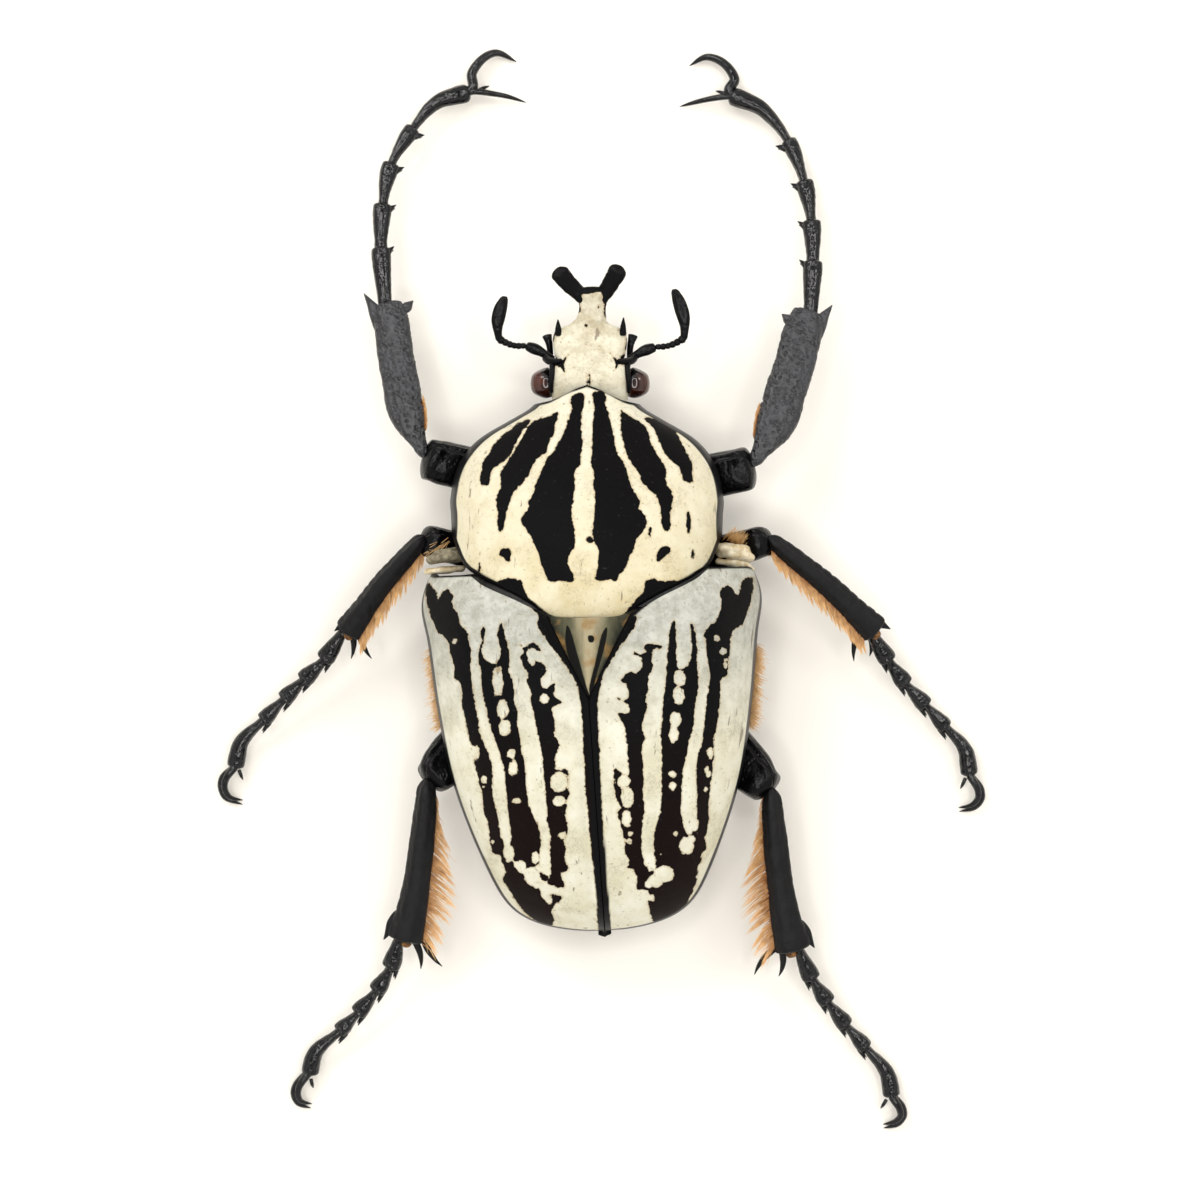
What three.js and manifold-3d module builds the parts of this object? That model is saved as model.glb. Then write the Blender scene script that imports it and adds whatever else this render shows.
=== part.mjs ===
// A goliath beetle: a dried, spread specimen at life size, lying on its belly with its legs set out.
// Millimetres. +Y runs to the head, +X to the beetle's right side as seen from above with the head up,
// and +Z is up. The origin is on the flat of the belly that rests on the ground.
import * as THREE from "three";
import { mergeVertices } from "three/addons/utils/BufferGeometryUtils.js";
import Module from "manifold-3d";

const wasm = await Module();
wasm.setup();

// Driving dimensions
const GAP = 0.3; // clear joint line between neighbouring pieces
const SHELL = 1.0; // thickness of the horny plates
const PLATE_POWER = 2.3; // squareness of the arched cross-sections

// Front of the body: the prothorax
const LOBE_Y = -2.5; // rear edge of the pronotum on the midline
const PRONOTUM_SIDE = 15.6; // half-width where the side margin meets the rear margin
const pronotumHalfWidth = profile([
  [5, 15.9], [10, 16.05], [12, 16.15], [15.6, 15.4], [17.8, 14.1], [19.5, 12.3], [21.5, 8.9], [22.6, 7.0],
  [23.5, 6.0], [25.4, 4.6],
]);
const pronotumFrontY = profile([[0, 25.5], [2.05, 24.85], [4.2, 23.75], [5, 23.5], [6.2, 23.3]]);
const pronotumRearY = profile([
  [0, LOBE_Y], [3.4, -2.4], [4.6, -1.9], [6, -0.8], [8, 0.5], [10.4, 1.7], [12.5, 2.8], [14.2, 4.2], [15.6, 7.4],
]);
const pronotumTop = profile([[-3, 24.4], [2, 25.4], [8, 25], [14, 22.6], [20, 18.4], [25.4, 14.6]]);
const pronotumEdge = profile([[-3, 13], [8, 12.4], [25.4, 11.4]]);
const prothoraxKeel = profile([[5, 3], [9, 1.8], [15, 2.6], [20, 5], [25, 8]]);

// Rear of the body, measured back from the line of the shoulders
const REAR_TURN = THREE.MathUtils.degToRad(1.8); // the hind body is set a little askew, tail to the right
const REAR_ORIGIN = new THREE.Vector3(0.45, 3, 0);
const FRONT_OF_REAR = 3; // local y at distance 0
const REAR_LENGTH = 45.6;
const TAIL_ROUND_FROM = 36;
const elytraHalfWidth = profile([
  [0, 17.2], [1.3, 18.1], [3, 19.4], [6.2, 20.3], [10.5, 19.7], [18.6, 18.8], [27.5, 17.2], [36.4, 14.1], [45.6, 9.8],
]);
const elytraTop = profile([[0, 24], [8, 25.8], [20, 25.2], [32, 21.8], [40, 17.6], [45.6, 14]]);
const elytraEdge = profile([[0, 12], [6, 10.6], [20, 10], [45.6, 9.4]]);
const belly = profile([[1, 3], [3.4, -0.6], [17, -0.6], [21, 1.2], [30, 4], [38, 7], [44.5, 9]]);
const SUTURE = 0.25; // half the groove between the two wing cases
const sutureShift = profile([[7, -0.3], [16, -0.65], [22, -0.5], [45.6, 0.35]]); // the groove wanders from the midline
const SCUTELLUM_FROM = 7.2; // distance back of the scutellum's front edge
const SCUTELLUM_TIP = 17.6;
const SCUTELLUM_HALF_WIDTH = 5.2;
const TRUNK_FROM = 2.1;
const TRUNK_SPLITS = [18.5, 38]; // where the thorax meets the abdomen, and the abdomen the tail plate
const TRUNK_TO = 43.6;

// Head
const HEAD_X = 0.35; // the head's midline lies a little to the right of the pronotum's
const headHalfWidth = profile([
  [22.4, 4.4], [25.5, 4.6], [27.3, 4.6], [28.5, 4.05], [29.2, 4.2], [30.6, 4.42], [31.4, 4.38], [32.1, 4.1], [33.4, 3.0],
]);
const headTop = profile([[22.4, 12.6], [24.2, 13.4], [26, 14.3], [28.4, 14.3], [30.5, 13.6], [33.4, 12.8]]);
const headMiddle = profile([[22.4, 11], [33.4, 11.4]]);
const headKeel = profile([[22.4, 7.5], [29, 6.4], [31.6, 8], [33.4, 10.6]]);

// Legs. SIZES has the half-widths and half-heights of the thigh, the claws' thickness, the hip's radii and
// the heights of the foot's points. SHINS has, along each shin from the knee, its shift outwards and its half
// width and height. Each leg has its hip, knee and ankle, the points of its foot (five joints, then the middle
// and end of the last), its two claws, and the teeth and spurs of its shin as [root, tip, thickness].
const SIZES = {
  front: { thigh: [2.6, 2.0], claw: 0.62, hip: [3.4, 3.4, 4.2], levels: [6.6, 5.7, 4.9, 4.1, 3.3, 2.7, 2.2], foot: 1.1 },
  middle: { thigh: [1.95, 1.9], claw: 0.5, hip: [4.4, 3.0, 3.4], levels: [6.6, 5.6, 4.6, 3.7, 2.9, 2.2, 1.7], foot: 1.0 },
  hind: { thigh: [2.6, 2.1], claw: 0.52, hip: [7.4, 3.4, 3.0], levels: [6.2, 5.2, 4.3, 3.4, 2.7, 2.1, 1.6], foot: 1.0 },
};
const SHINS = {
  front: [
    [0, -0.3, 0.75, 0.8], [0.09, -0.33, 0.98, 0.9], [0.165, 0.1, 1.6, 1.05], [0.25, 0.35, 2.0, 1.15], [0.37, 0.52, 2.2, 1.2],
    [0.66, 0.37, 2.18, 1.15], [0.85, 0.05, 2.12, 1.1], [1, 0, 1.6, 0.9],
  ],
  middle: [[0, 0, 0.75, 1.1], [0.08, 0.05, 0.95, 1.2], [0.2, 0.15, 1.08, 1.25], [0.5, 0.35, 1.24, 1.3], [0.75, 0.2, 1.36, 1.35], [1, 0, 1.68, 1.3]],
  hind: [[0, 0, 0.8, 1.1], [0.06, -0.05, 1.1, 1.25], [0.15, -0.2, 1.25, 1.3], [0.4, -0.42, 1.46, 1.35], [0.8, -0.42, 1.78, 1.4], [1, 0, 2.12, 1.3]],
};
const LEGS = [
  {
    side: "left", pair: "front", coxa: [-5.6, 13.2, 4.4], hip: [-9.4, 14.6, 6.8], knee: [-20.0, 17.0, 10.4], ankle: [-23.97, 35.9, 7], spread: 1.0,
    foot: [[-24.4, 36.0], [-24.9, 42.5], [-24.7, 47.8], [-23.7, 52.8], [-21.1, 57.2], [-18.3, 60.4], [-14.2, 61.7]],
    claws: [[[-13.9, 62.3], [-14.0, 64.0], [-12.6, 65.9], [-10.9, 66.6], [-8.6, 65.6]], [[-13.6, 61.7], [-11.6, 61.5], [-9.6, 61.2], [-7.4, 60.6]]],
    spikes: [[[-25.01, 33.0, 7], [-26.85, 37.0, 7], 0.85], [[-22.72, 34.0, 7], [-20.9, 36.0, 7], 0.62]],
  },
  {
    side: "right", pair: "front", coxa: [5.6, 13.2, 4.4], hip: [9.6, 13.8, 6.8], knee: [20.35, 15.9, 10.4], ankle: [26.75, 34.9, 7], spread: 1.12,
    foot: [[26.9, 34.9], [27.2, 40.9], [27.05, 45.8], [26.2, 50.7], [24.3, 55.7], [21.0, 59.7], [17.2, 61.3]],
    claws: [[[17.2, 61.9], [17.9, 63.3], [16.55, 65.3], [14.5, 66.1], [12.4, 65.1]], [[17.0, 61.1], [15.2, 60.9], [13.4, 60.6], [11.2, 60.1]]],
    spikes: [[[27.61, 31.8, 7], [29.5, 35.6, 7], 0.85], [[25.29, 32.6, 7], [23.4, 34.4, 7], 0.62]],
  },
  {
    side: "left", pair: "middle", coxa: [-6.2, 3.4, 3.4], hip: [-10.2, 4.8, 6], knee: [-19.7, 7.2, 12], ankle: [-28.9, -3.9, 7], spread: 1.0,
    foot: [[-29.5, -4.05], [-31.75, -7.25], [-34.3, -9.7], [-36.7, -12.0], [-39.3, -14.6], [-42.0, -17.3], [-42.75, -20.5]],
    claws: [[[-43.1, -20.5], [-44.3, -21.6], [-44.55, -22.85], [-44.0, -24.1], [-42.0, -24.95]], [[-43.0, -20.5], [-43.9, -21.7], [-44.1, -22.9], [-43.5, -24.0], [-41.9, -24.4]]],
    spikes: [[[-29.05, -2.4, 7], [-30.4, -3.75, 7], 0.7], [[-28.1, -3.15, 6.5], [-28.5, -7.1, 5.2], 0.45], [[-27.47, -3.01, 6.5], [-26.0, -7.1, 5.2], 0.45]],
  },
  {
    side: "right", pair: "middle", coxa: [7.2, 3.2, 3.4], hip: [11.2, 4.6, 6], knee: [22.0, 7.1, 12], ankle: [34.8, -3.8, 7], spread: 1.05,
    foot: [[34.3, -4.1], [36.4, -7.3], [38.5, -10.1], [41.0, -12.7], [43.5, -15.4], [45.9, -18.1], [46.5, -21.4]],
    claws: [[[46.7, -21.5], [47.8, -22.9], [47.95, -24.2], [47.1, -25.3], [45.3, -25.8]], [[46.6, -21.5], [47.4, -22.9], [47.5, -24.1], [46.7, -25.0], [45.2, -25.3]]],
    spikes: [[[35.03, -2.4, 7], [36.5, -3.5, 7], 0.7], [[32.94, -3.07, 6.5], [32.2, -7.4, 5.2], 0.45], [[33.64, -3.28, 6.5], [34.1, -6.8, 5.2], 0.45]],
  },
  {
    side: "left", pair: "hind", coxa: [-7, -10.6, 2.6], hip: [-11, -13.4, 4.2], knee: [-19.1, -21.8, 10], ankle: [-22.1, -41.1, 6.5], spread: 1.0,
    foot: [[-22.7, -41.0], [-23.75, -44.4], [-25.5, -47.3], [-27.8, -50.05], [-30.05, -52.35], [-33.0, -55.0], [-33.75, -57.8]],
    claws: [[[-34.3, -57.8], [-35.4, -59.0], [-35.7, -60.1], [-35.2, -61.3], [-33.7, -61.95]], [[-34.2, -57.9], [-35.0, -59.1], [-35.2, -60.1], [-34.8, -61.0], [-33.5, -61.4]]],
    spikes: [[[-22.92, -39.3, 6.5], [-24.5, -40.9, 6.5], 0.8], [[-21.08, -40.34, 6.0], [-20.1, -44.6, 4.7], 0.45], [[-20.38, -40.13, 6.0], [-17.5, -44.3, 4.7], 0.45]],
  },
  {
    side: "right", pair: "hind", coxa: [8.6, -10.6, 2.6], hip: [12.8, -13.4, 4.2], knee: [22.0, -22.9, 10], ankle: [24.9, -42.3, 6.5], spread: 1.0,
    foot: [[25.6, -42.3], [27.2, -45.7], [29.1, -48.6], [31.4, -51.5], [33.8, -54.3], [36.4, -57.4], [37.1, -60.5]],
    claws: [[[37.3, -60.5], [38.25, -61.6], [38.5, -62.7], [37.8, -63.8], [36.1, -64.4]], [[37.2, -60.6], [37.9, -61.7], [38.1, -62.7], [37.4, -63.5], [36.0, -63.9]]],
    spikes: [[[25.73, -40.5, 6.5], [27.4, -41.9, 6.5], 0.8], [[23.26, -41.33, 6.0], [20.2, -45.3, 4.7], 0.45], [[23.82, -41.54, 6.0], [23.15, -45.5, 4.7], 0.45]],
  },
];

// Colours
const BLACK = new THREE.MeshStandardMaterial({ color: 0x14131a, roughness: 0.38, metalness: 0 });
const CREAM = new THREE.MeshStandardMaterial({ color: 0xe9e3cc, roughness: 0.62, metalness: 0 });
const GREY_WHITE = new THREE.MeshStandardMaterial({ color: 0xd8dad0, roughness: 0.6, metalness: 0 });
const UNDERSIDE = new THREE.MeshStandardMaterial({ color: 0x1d1a17, roughness: 0.45, metalness: 0 });
const EYE = new THREE.MeshStandardMaterial({ color: 0x5a2416, roughness: 0.2, metalness: 0 });
const TAN = new THREE.MeshStandardMaterial({ color: 0x9b8a68, roughness: 0.6, metalness: 0 });

// A smooth line through [position, value] knots, level beyond its ends.
function profile(knots) {
  const slopes = knots.map((_, i) => {
    const [before, after] = [knots[Math.max(i - 1, 0)], knots[Math.min(i + 1, knots.length - 1)]];
    return (after[1] - before[1]) / (after[0] - before[0]);
  });
  return (at) => {
    const last = knots.length - 1;
    if (at <= knots[0][0]) return knots[0][1];
    if (at >= knots[last][0]) return knots[last][1];
    const i = knots.findIndex((k) => k[0] > at) - 1;
    const step = knots[i + 1][0] - knots[i][0];
    const t = (at - knots[i][0]) / step;
    const ends = knots[i][1] * (1 + 2 * t) * (1 - t) ** 2 + knots[i + 1][1] * t * t * (3 - 2 * t);
    return ends + step * (slopes[i] * t * (1 - t) ** 2 - slopes[i + 1] * t * t * (1 - t));
  };
}

// A closed geometry as a solid, with its faces turned to point outwards.
function solidOf(geometry) {
  const bare = geometry.clone();
  bare.deleteAttribute("normal");
  bare.deleteAttribute("uv");
  const merged = mergeVertices(bare, 1e-4);
  const triVerts = new Uint32Array(merged.index.array);
  const make = () =>
    new wasm.Manifold(new wasm.Mesh({ numProp: 3, vertProperties: merged.attributes.position.array, triVerts }));
  const solid = make();
  if (solid.volume() > 0) return solid;
  for (let i = 0; i < triVerts.length; i += 3) {
    [triVerts[i + 1], triVerts[i + 2]] = [triVerts[i + 2], triVerts[i + 1]];
  }
  return make();
}

// Moves every vertex of a unit geometry, merged, to where the rule puts it.
function shaped(geometry, rule) {
  geometry.deleteAttribute("normal");
  geometry.deleteAttribute("uv");
  const merged = mergeVertices(geometry, 1e-4);
  const place = merged.attributes.position;
  for (let i = 0; i < place.count; i++) {
    const moved = rule(place.getX(i), place.getY(i), place.getZ(i));
    place.setXYZ(i, moved.x, moved.y, moved.z);
  }
  return solidOf(merged);
}

// A curved plate: rule(u, v, inset) gives the outer face at inset 0 and the inner face at inset 1.
function plate(columns, rows, rule) {
  const box = new THREE.BoxGeometry(1, 1, 1, columns, rows, 1);
  return shaped(box, (x, y, z) => rule(x + 0.5, y + 0.5, z > 0 ? 0 : 1));
}

// A limb: rings of size(t) = [half-width, half-height] along a line, at the given shares of it.
function limb(line, stations, size, sides, grow = 0, up = new THREE.Vector3(0, 0, 1)) {
  const steps = stations.length - 1;
  const tube = new THREE.CylinderGeometry(1, 1, 1, sides, steps);
  return shaped(tube, (x, y, z) => {
    const t = stations[Math.round((0.5 - y) * steps)];
    const along = line.getTangent(t);
    const across = new THREE.Vector3().crossVectors(along, up).normalize();
    const rise = new THREE.Vector3().crossVectors(across, along);
    const [halfWidth, halfHeight] = size(t);
    const pull = t === 0 ? -grow : t === 1 ? grow : 0;
    return line
      .getPoint(t)
      .addScaledVector(along, pull)
      .addScaledVector(across, x * (halfWidth + grow))
      .addScaledVector(rise, z * (halfHeight + grow));
  });
}

// A body length: closed rings across Y, arched above the edge height and keeled below it.
function barrel(from, to, rings, sides, widthAt, topAt, edgeAt, keelAt, grow = 0) {
  const tube = new THREE.CylinderGeometry(1, 1, 1, sides, rings);
  return shaped(tube, (x, y, z) => {
    const along = from + (to - from) * (0.5 - y);
    const end = y === 0.5 ? -grow : y === -0.5 ? grow : 0;
    const radius = Math.hypot(x, z);
    const bend = (a) => Math.sign(a) * Math.abs(a) ** (2 / PLATE_POWER);
    const edge = edgeAt(along);
    const rise = z > 0 ? topAt(along) - edge : edge - keelAt(along);
    return new THREE.Vector3(
      radius ? bend(x / radius) * (widthAt(along) + grow) : 0,
      along + Math.sign(to - from) * end,
      radius ? edge + bend(z / radius) * (rise + grow) : edge,
    );
  });
}

const points = (list) => list.map((p) => new THREE.Vector3(...p));
const curve = (list) => new THREE.CatmullRomCurve3(points(list), false, "centripetal");
const straight = (a, b) => new THREE.LineCurve3(new THREE.Vector3(...a), new THREE.Vector3(...b));
const evenly = (count) => Array.from({ length: count + 1 }, (_, i) => i / count);
const joined = (solids) => solids.reduce((a, b) => a.add(b));
const without = (solid, cutters) => cutters.reduce((a, b) => a.subtract(b), solid);
const signedPower = (value, power) => Math.sign(value) * Math.abs(value) ** power;
const sectionX = (share) => signedPower(Math.sin((share * Math.PI) / 2), 2 / PLATE_POWER);
const sectionZ = (share) => Math.cos((share * Math.PI) / 2) ** (2 / PLATE_POWER);

// The half space on one side of a level, as a large box.
function slab(low, high) {
  const size = new THREE.Vector3().subVectors(new THREE.Vector3(...high), new THREE.Vector3(...low));
  const middle = new THREE.Vector3(...low).addScaledVector(size, 0.5);
  return solidOf(new THREE.BoxGeometry(size.x, size.y, size.z).translate(middle.x, middle.y, middle.z));
}

// Meshes are collected by name, each with its geometry about its own place.
const beetle = new THREE.Group();
function addPiece(name, solid, material, parent = beetle) {
  const { numProp, vertProperties, triVerts } = solid.getMesh();
  const geometry = new THREE.BufferGeometry();
  const place = new Float32Array((vertProperties.length / numProp) * 3);
  for (let i = 0; i < place.length / 3; i++) place.set(vertProperties.subarray(i * numProp, i * numProp + 3), i * 3);
  geometry.setAttribute("position", new THREE.BufferAttribute(place, 3));
  geometry.setIndex(new THREE.BufferAttribute(new Uint32Array(triVerts), 1));
  geometry.computeBoundingBox();
  const middle = geometry.boundingBox.getCenter(new THREE.Vector3());
  geometry.translate(-middle.x, -middle.y, -middle.z);
  geometry.computeVertexNormals();
  const mesh = new THREE.Mesh(geometry, material);
  mesh.name = name;
  mesh.position.copy(middle);
  parent.add(mesh);
  return mesh;
}

// Prothorax: the pronotum is an arched plate, and the thorax fills it below.
function pronotumPoint(u, v, inset) {
  const across = Math.abs(2 * u - 1);
  const rearY = pronotumRearY(PRONOTUM_SIDE * sectionX(across));
  const frontY = pronotumFrontY(6.2 * sectionX(across));
  const y = frontY + (rearY - frontY) * v;
  const edge = pronotumEdge(y);
  return new THREE.Vector3(
    Math.sign(u - 0.5) * (pronotumHalfWidth(y) - SHELL * inset) * sectionX(across),
    y,
    edge + (pronotumTop(y) - edge - SHELL * inset) * sectionZ(across),
  );
}
// With room to spare it is a cutter: it clears the joint below, behind and all that lies above.
function pronotumPlate(room = 0) {
  if (!room) return plate(14, 8, pronotumPoint);
  return plate(14, 8, (u, v, inset) => pronotumPoint(u, v * 1.04 - 0.02, inset ? 1 + room / SHELL : -4));
}
function prothorax(grow = 0) {
  const inner = SHELL + GAP + 0.25; // a little more, for the flat faces of both
  return barrel(
    22.8,
    5.1,
    6,
    20,
    (y) => pronotumHalfWidth(y) - inner,
    (y) => pronotumTop(y) - inner,
    (y) => pronotumEdge(y) - GAP,
    prothoraxKeel,
    grow,
  );
}
addPiece("pronotum", pronotumPlate(), CREAM);
addPiece("thorax_front", prothorax(), UNDERSIDE);

// Rear body
const rear = new THREE.Group();
rear.position.copy(REAR_ORIGIN);
rear.rotation.z = REAR_TURN;
beetle.add(rear);
rear.updateMatrix();
const rearMatrix = rear.matrix.toArray();
const inWorld = (solid) => solid.transform(rearMatrix);

function tailShare(back) {
  const past = Math.max(0, (back - TAIL_ROUND_FROM) / (REAR_LENGTH - TAIL_ROUND_FROM));
  return Math.sqrt(Math.max(0, 1 - past ** 6));
}
const scutellumHalf = (back) => {
  const share = (SCUTELLUM_TIP - back) / (SCUTELLUM_TIP - SCUTELLUM_FROM);
  return share <= 0 ? 0 : SCUTELLUM_HALF_WIDTH * Math.min(share, 1.3);
};

// The point of the arched back at a share across (0 the midline, 1 the side) and a distance back.
function backPoint(share, back, inset, side) {
  const round = tailShare(back);
  const edge = elytraEdge(back);
  const width = elytraHalfWidth(back) * round - SHELL * inset;
  const rise = (elytraTop(back) - edge) * round - SHELL * inset;
  return new THREE.Vector3(
    side * Math.max(width, 0.05) * sectionX(share),
    FRONT_OF_REAR - back,
    edge + Math.max(rise, 0.05) * sectionZ(share),
  );
}
// The share across at which the arch stands a distance x out from the midline.
const shareAt = (x, back) => {
  const width = elytraHalfWidth(back) * tailShare(back);
  return (Math.asin(signedPower(Math.min(1, x / width), PLATE_POWER / 2)) * 2) / Math.PI;
};

// Front edge of a wing case: it follows the pronotum's rear margin, then the shoulder.
function caseFront(x) {
  return REAR_ORIGIN.y + FRONT_OF_REAR - pronotumRearY(Math.min(x, 13.6)) + GAP + 0.2;
}

function wingCase(side) {
  const first = shareAt(SCUTELLUM_HALF_WIDTH, SCUTELLUM_FROM);
  return plate(8, 14, (u, v, inset) => {
    const cornerRound = 0.9 * Math.max(0, (u - 0.8) / 0.2) ** 2;
    const front = caseFront(elytraHalfWidth(4) * sectionX(first + (1 - first) * u)) + cornerRound;
    const back = front + (REAR_LENGTH - 0.05 - front) * Math.sin((v * Math.PI) / 2) ** 1.15;
    const clear = Math.max(SUTURE, scutellumHalf(back) + (scutellumHalf(back) ? GAP / 2 : 0));
    const inner = shareAt(clear + side * sutureShift(back), back);
    return backPoint(inner + (1 - inner) * u, back, inset, side);
  });
}

function scutellum() {
  const from = SCUTELLUM_FROM + 1.4;
  return plate(6, 6, (u, v, inset) => {
    const lobe = caseFront(SCUTELLUM_HALF_WIDTH * Math.abs(2 * u - 1) * 0.9) + 0.1;
    const back = Math.min(from, lobe) + (SCUTELLUM_TIP - 0.7 - Math.min(from, lobe)) * v;
    const half = Math.max(scutellumHalf(back) - GAP / 2, 0.25);
    const x = (2 * u - 1) * half + sutureShift(back);
    return backPoint(shareAt(Math.abs(x), back), back, inset, Math.sign(x) || 1);
  });
}

// The trunk under the wing cases: the same arch drawn in by the shell, and the keeled belly.
function trunk(from, to, rings, grow = 0) {
  const inset = SHELL + GAP;
  const toY = (back) => FRONT_OF_REAR - back;
  const toBack = (y) => FRONT_OF_REAR - y;
  return barrel(
    toY(from),
    toY(to),
    rings,
    20,
    (y) => elytraHalfWidth(toBack(y)) * tailShare(toBack(y)) - inset - 2 * Math.max(0, (5 - toBack(y)) / 3) ** 2,
    (y) => elytraEdge(toBack(y)) + (elytraTop(toBack(y)) - elytraEdge(toBack(y))) * tailShare(toBack(y)) - inset,
    (y) => elytraEdge(toBack(y)) - 0.2,
    (y) => belly(toBack(y)),
    grow,
  );
}
const aboveGround = slab([-80, -80, 0], [80, 80, 60]);
const wholeTrunk = inWorld(trunk(TRUNK_FROM, TRUNK_TO, 12, GAP));
const [THORAX_END, ABDOMEN_END] = TRUNK_SPLITS;

addPiece("elytron_left", wingCase(-1), CREAM, rear);
addPiece("elytron_right", wingCase(1), CREAM, rear);
addPiece("scutellum", scutellum(), GREY_WHITE, rear);
const thorax = inWorld(trunk(TRUNK_FROM, THORAX_END, 6)).subtract(pronotumPlate(GAP)).intersect(aboveGround);
addPiece("thorax_middle", thorax, UNDERSIDE);
addPiece("abdomen", trunk(THORAX_END + GAP, ABDOMEN_END, 6), UNDERSIDE, rear);
addPiece("pygidium", trunk(ABDOMEN_END + GAP, TRUNK_TO, 4), GREY_WHITE, rear);

// Head, horn, eyes, feelers and palps
const headPoint = (grow = 0) =>
  barrel(23.5, 33.4, 9, 16, headHalfWidth, headTop, headMiddle, headKeel, grow).translate([HEAD_X, 0, 0]);
const eyeBall = (side, grow = 0) => {
  const ball = new THREE.SphereGeometry(1, 10, 8).scale(1.78 + grow, 1.95 + grow, 1.85 + grow);
  return solidOf(ball.translate(HEAD_X + side * 5.17, 25.95, 10.7));
};
function headTooth(side) {
  const line = straight([HEAD_X + side * 3.75, 31.5, 12.2], [HEAD_X + side * 3.9, 33.4, 12.9]);
  return limb(line, [0, 0.5, 1], (t) => [0.5 - 0.32 * t, 0.6 - 0.35 * t], 6);
}
const head = joined([headPoint(), headTooth(-1), headTooth(1)]);
const neckRoom = [pronotumPlate(GAP + 0.2), prothorax(GAP)];
addPiece("head", without(head, [eyeBall(-1, GAP), eyeBall(1, GAP), ...neckRoom]), CREAM);
addPiece("eye_left", without(eyeBall(-1), neckRoom), EYE);
addPiece("eye_right", without(eyeBall(1), neckRoom), EYE);

function horn() {
  const x = HEAD_X;
  const stem = limb(
    curve([[x + 0.25, 33.75, 12.4], [x + 0.35, 35.4, 13.1], [x + 0.35, 37.1, 14.1]]),
    [0, 0.35, 0.7, 1],
    (t) => [1.68 + 0.45 * t ** 3, 0.85 - 0.2 * t],
    8,
  );
  const prong = (path) => limb(curve(path), [0, 0.3, 0.6, 0.88, 1], (t) => [0.7 + 0.42 * Math.min(1, t * 1.4) - 0.3 * Math.max(0, t - 0.88) * 8, 0.62 - 0.1 * t], 8);
  return joined([
    stem,
    prong([[x - 0.5, 35.4, 13.1], [x - 2.45, 37.45, 14.3], [x - 4.0, 39.2, 15.4]]),
    prong([[x + 1.15, 35.2, 13.1], [x + 2.5, 37.6, 14.3], [x + 3.55, 39.6, 15.4]]),
  ]);
}
addPiece("horn", horn(), BLACK);

const FEELERS = [
  {
    side: "left", root: [-4.0, 28.6, 11], scape: [-7.3, 30.35, 11.2], elbow: [-10.45, 31.1, 11.6],
    club: [[-10.65, 32.7, 11.9], [-10.4, 34.3, 12.15], [-9.75, 36.15, 12.4]],
  },
  {
    side: "right", root: [4.9, 28.6, 11], scape: [8.2, 30.2, 11.2], elbow: [11.55, 31.2, 11.6],
    club: [[11.6, 33.0, 11.9], [11.15, 34.9, 12.15], [10.35, 37.0, 12.4]],
  },
];
for (const { side, root, scape, elbow, club } of FEELERS) {
  const stemSize = (t) => [t < 0.5 ? 0.48 + 0.5 * t : 0.4, t < 0.5 ? 0.45 + 0.4 * t : 0.38];
  const stem = limb(curve([root, scape, elbow]), [0, 0.2, 0.45, 0.52, 0.75, 1], stemSize, 8);
  const leaves = (grow) =>
    limb(curve([[elbow[0], elbow[1] - 0.2, elbow[2]], ...club]), [0, 0.2, 0.5, 0.75, 0.93, 1],
      (t) => [0.42 + 0.32 * Math.sin(Math.PI * t ** 1.3) - 0.2 * t ** 4, 0.4 - 0.2 * t ** 4], 8, grow);
  const eye = eyeBall(side === "left" ? -1 : 1, GAP);
  addPiece(`antenna_${side}`, without(stem, [leaves(GAP), eye, headPoint(GAP)]), BLACK);
  addPiece(`antenna_club_${side}`, leaves(0), BLACK);
}
for (const side of [-1, 1]) {
  const line = curve([[HEAD_X + side * 4.75, 29.2, 8.5], [HEAD_X + side * 4.95, 30.5, 8.6], [HEAD_X + side * 5.2, 31.85, 8.4]]);
  const feeler = limb(line, [0, 0.4, 0.8, 1], (t) => [0.42 + 0.25 * t, 0.4], 6);
  addPiece(`palp_${side < 0 ? "left" : "right"}`, without(feeler, [headPoint(GAP)]), BLACK);
}

// Shoulder plates, showing between the pronotum and the wing cases
const pronotumGrown = barrel(22, 4.2, 6, 24, pronotumHalfWidth, pronotumTop, pronotumEdge, () => 8, GAP);
const arch = (y) => FRONT_OF_REAR - y;
const casesGrown = inWorld(
  barrel(
    arch(2.4),
    arch(REAR_LENGTH),
    14,
    24,
    (y) => elytraHalfWidth(arch(y)) * tailShare(arch(y)),
    (y) => elytraEdge(arch(y)) + (elytraTop(arch(y)) - elytraEdge(arch(y))) * tailShare(arch(y)),
    (y) => elytraEdge(arch(y)),
    (y) => elytraEdge(arch(y)) - 0.8,
    GAP,
  ),
);
const shoulder = (side, grow = 0) => {
  const plump = new THREE.SphereGeometry(1, 12, 8).scale(3.0 + grow, 1.7 + grow, 1.9 + grow);
  return solidOf(plump.translate(side < 0 ? -16.6 : 17.4, 5.3, 13.3));
};
for (const side of [-1, 1]) {
  const name = `shoulder_plate_${side < 0 ? "left" : "right"}`;
  addPiece(name, without(shoulder(side), [pronotumGrown, wholeTrunk, casesGrown]), TAN);
}

// Legs
const ball = (centre, radii, grow = 0) => {
  const sphere = new THREE.SphereGeometry(1, 8, 6);
  return solidOf(sphere.scale(radii[0] + grow, radii[1] + grow, radii[2] + grow).translate(...centre));
};
const toward = (a, b, distance) => {
  const start = new THREE.Vector3(...a);
  const way = new THREE.Vector3(...b).sub(start).normalize();
  return start.addScaledVector(way, distance).toArray();
};

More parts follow.
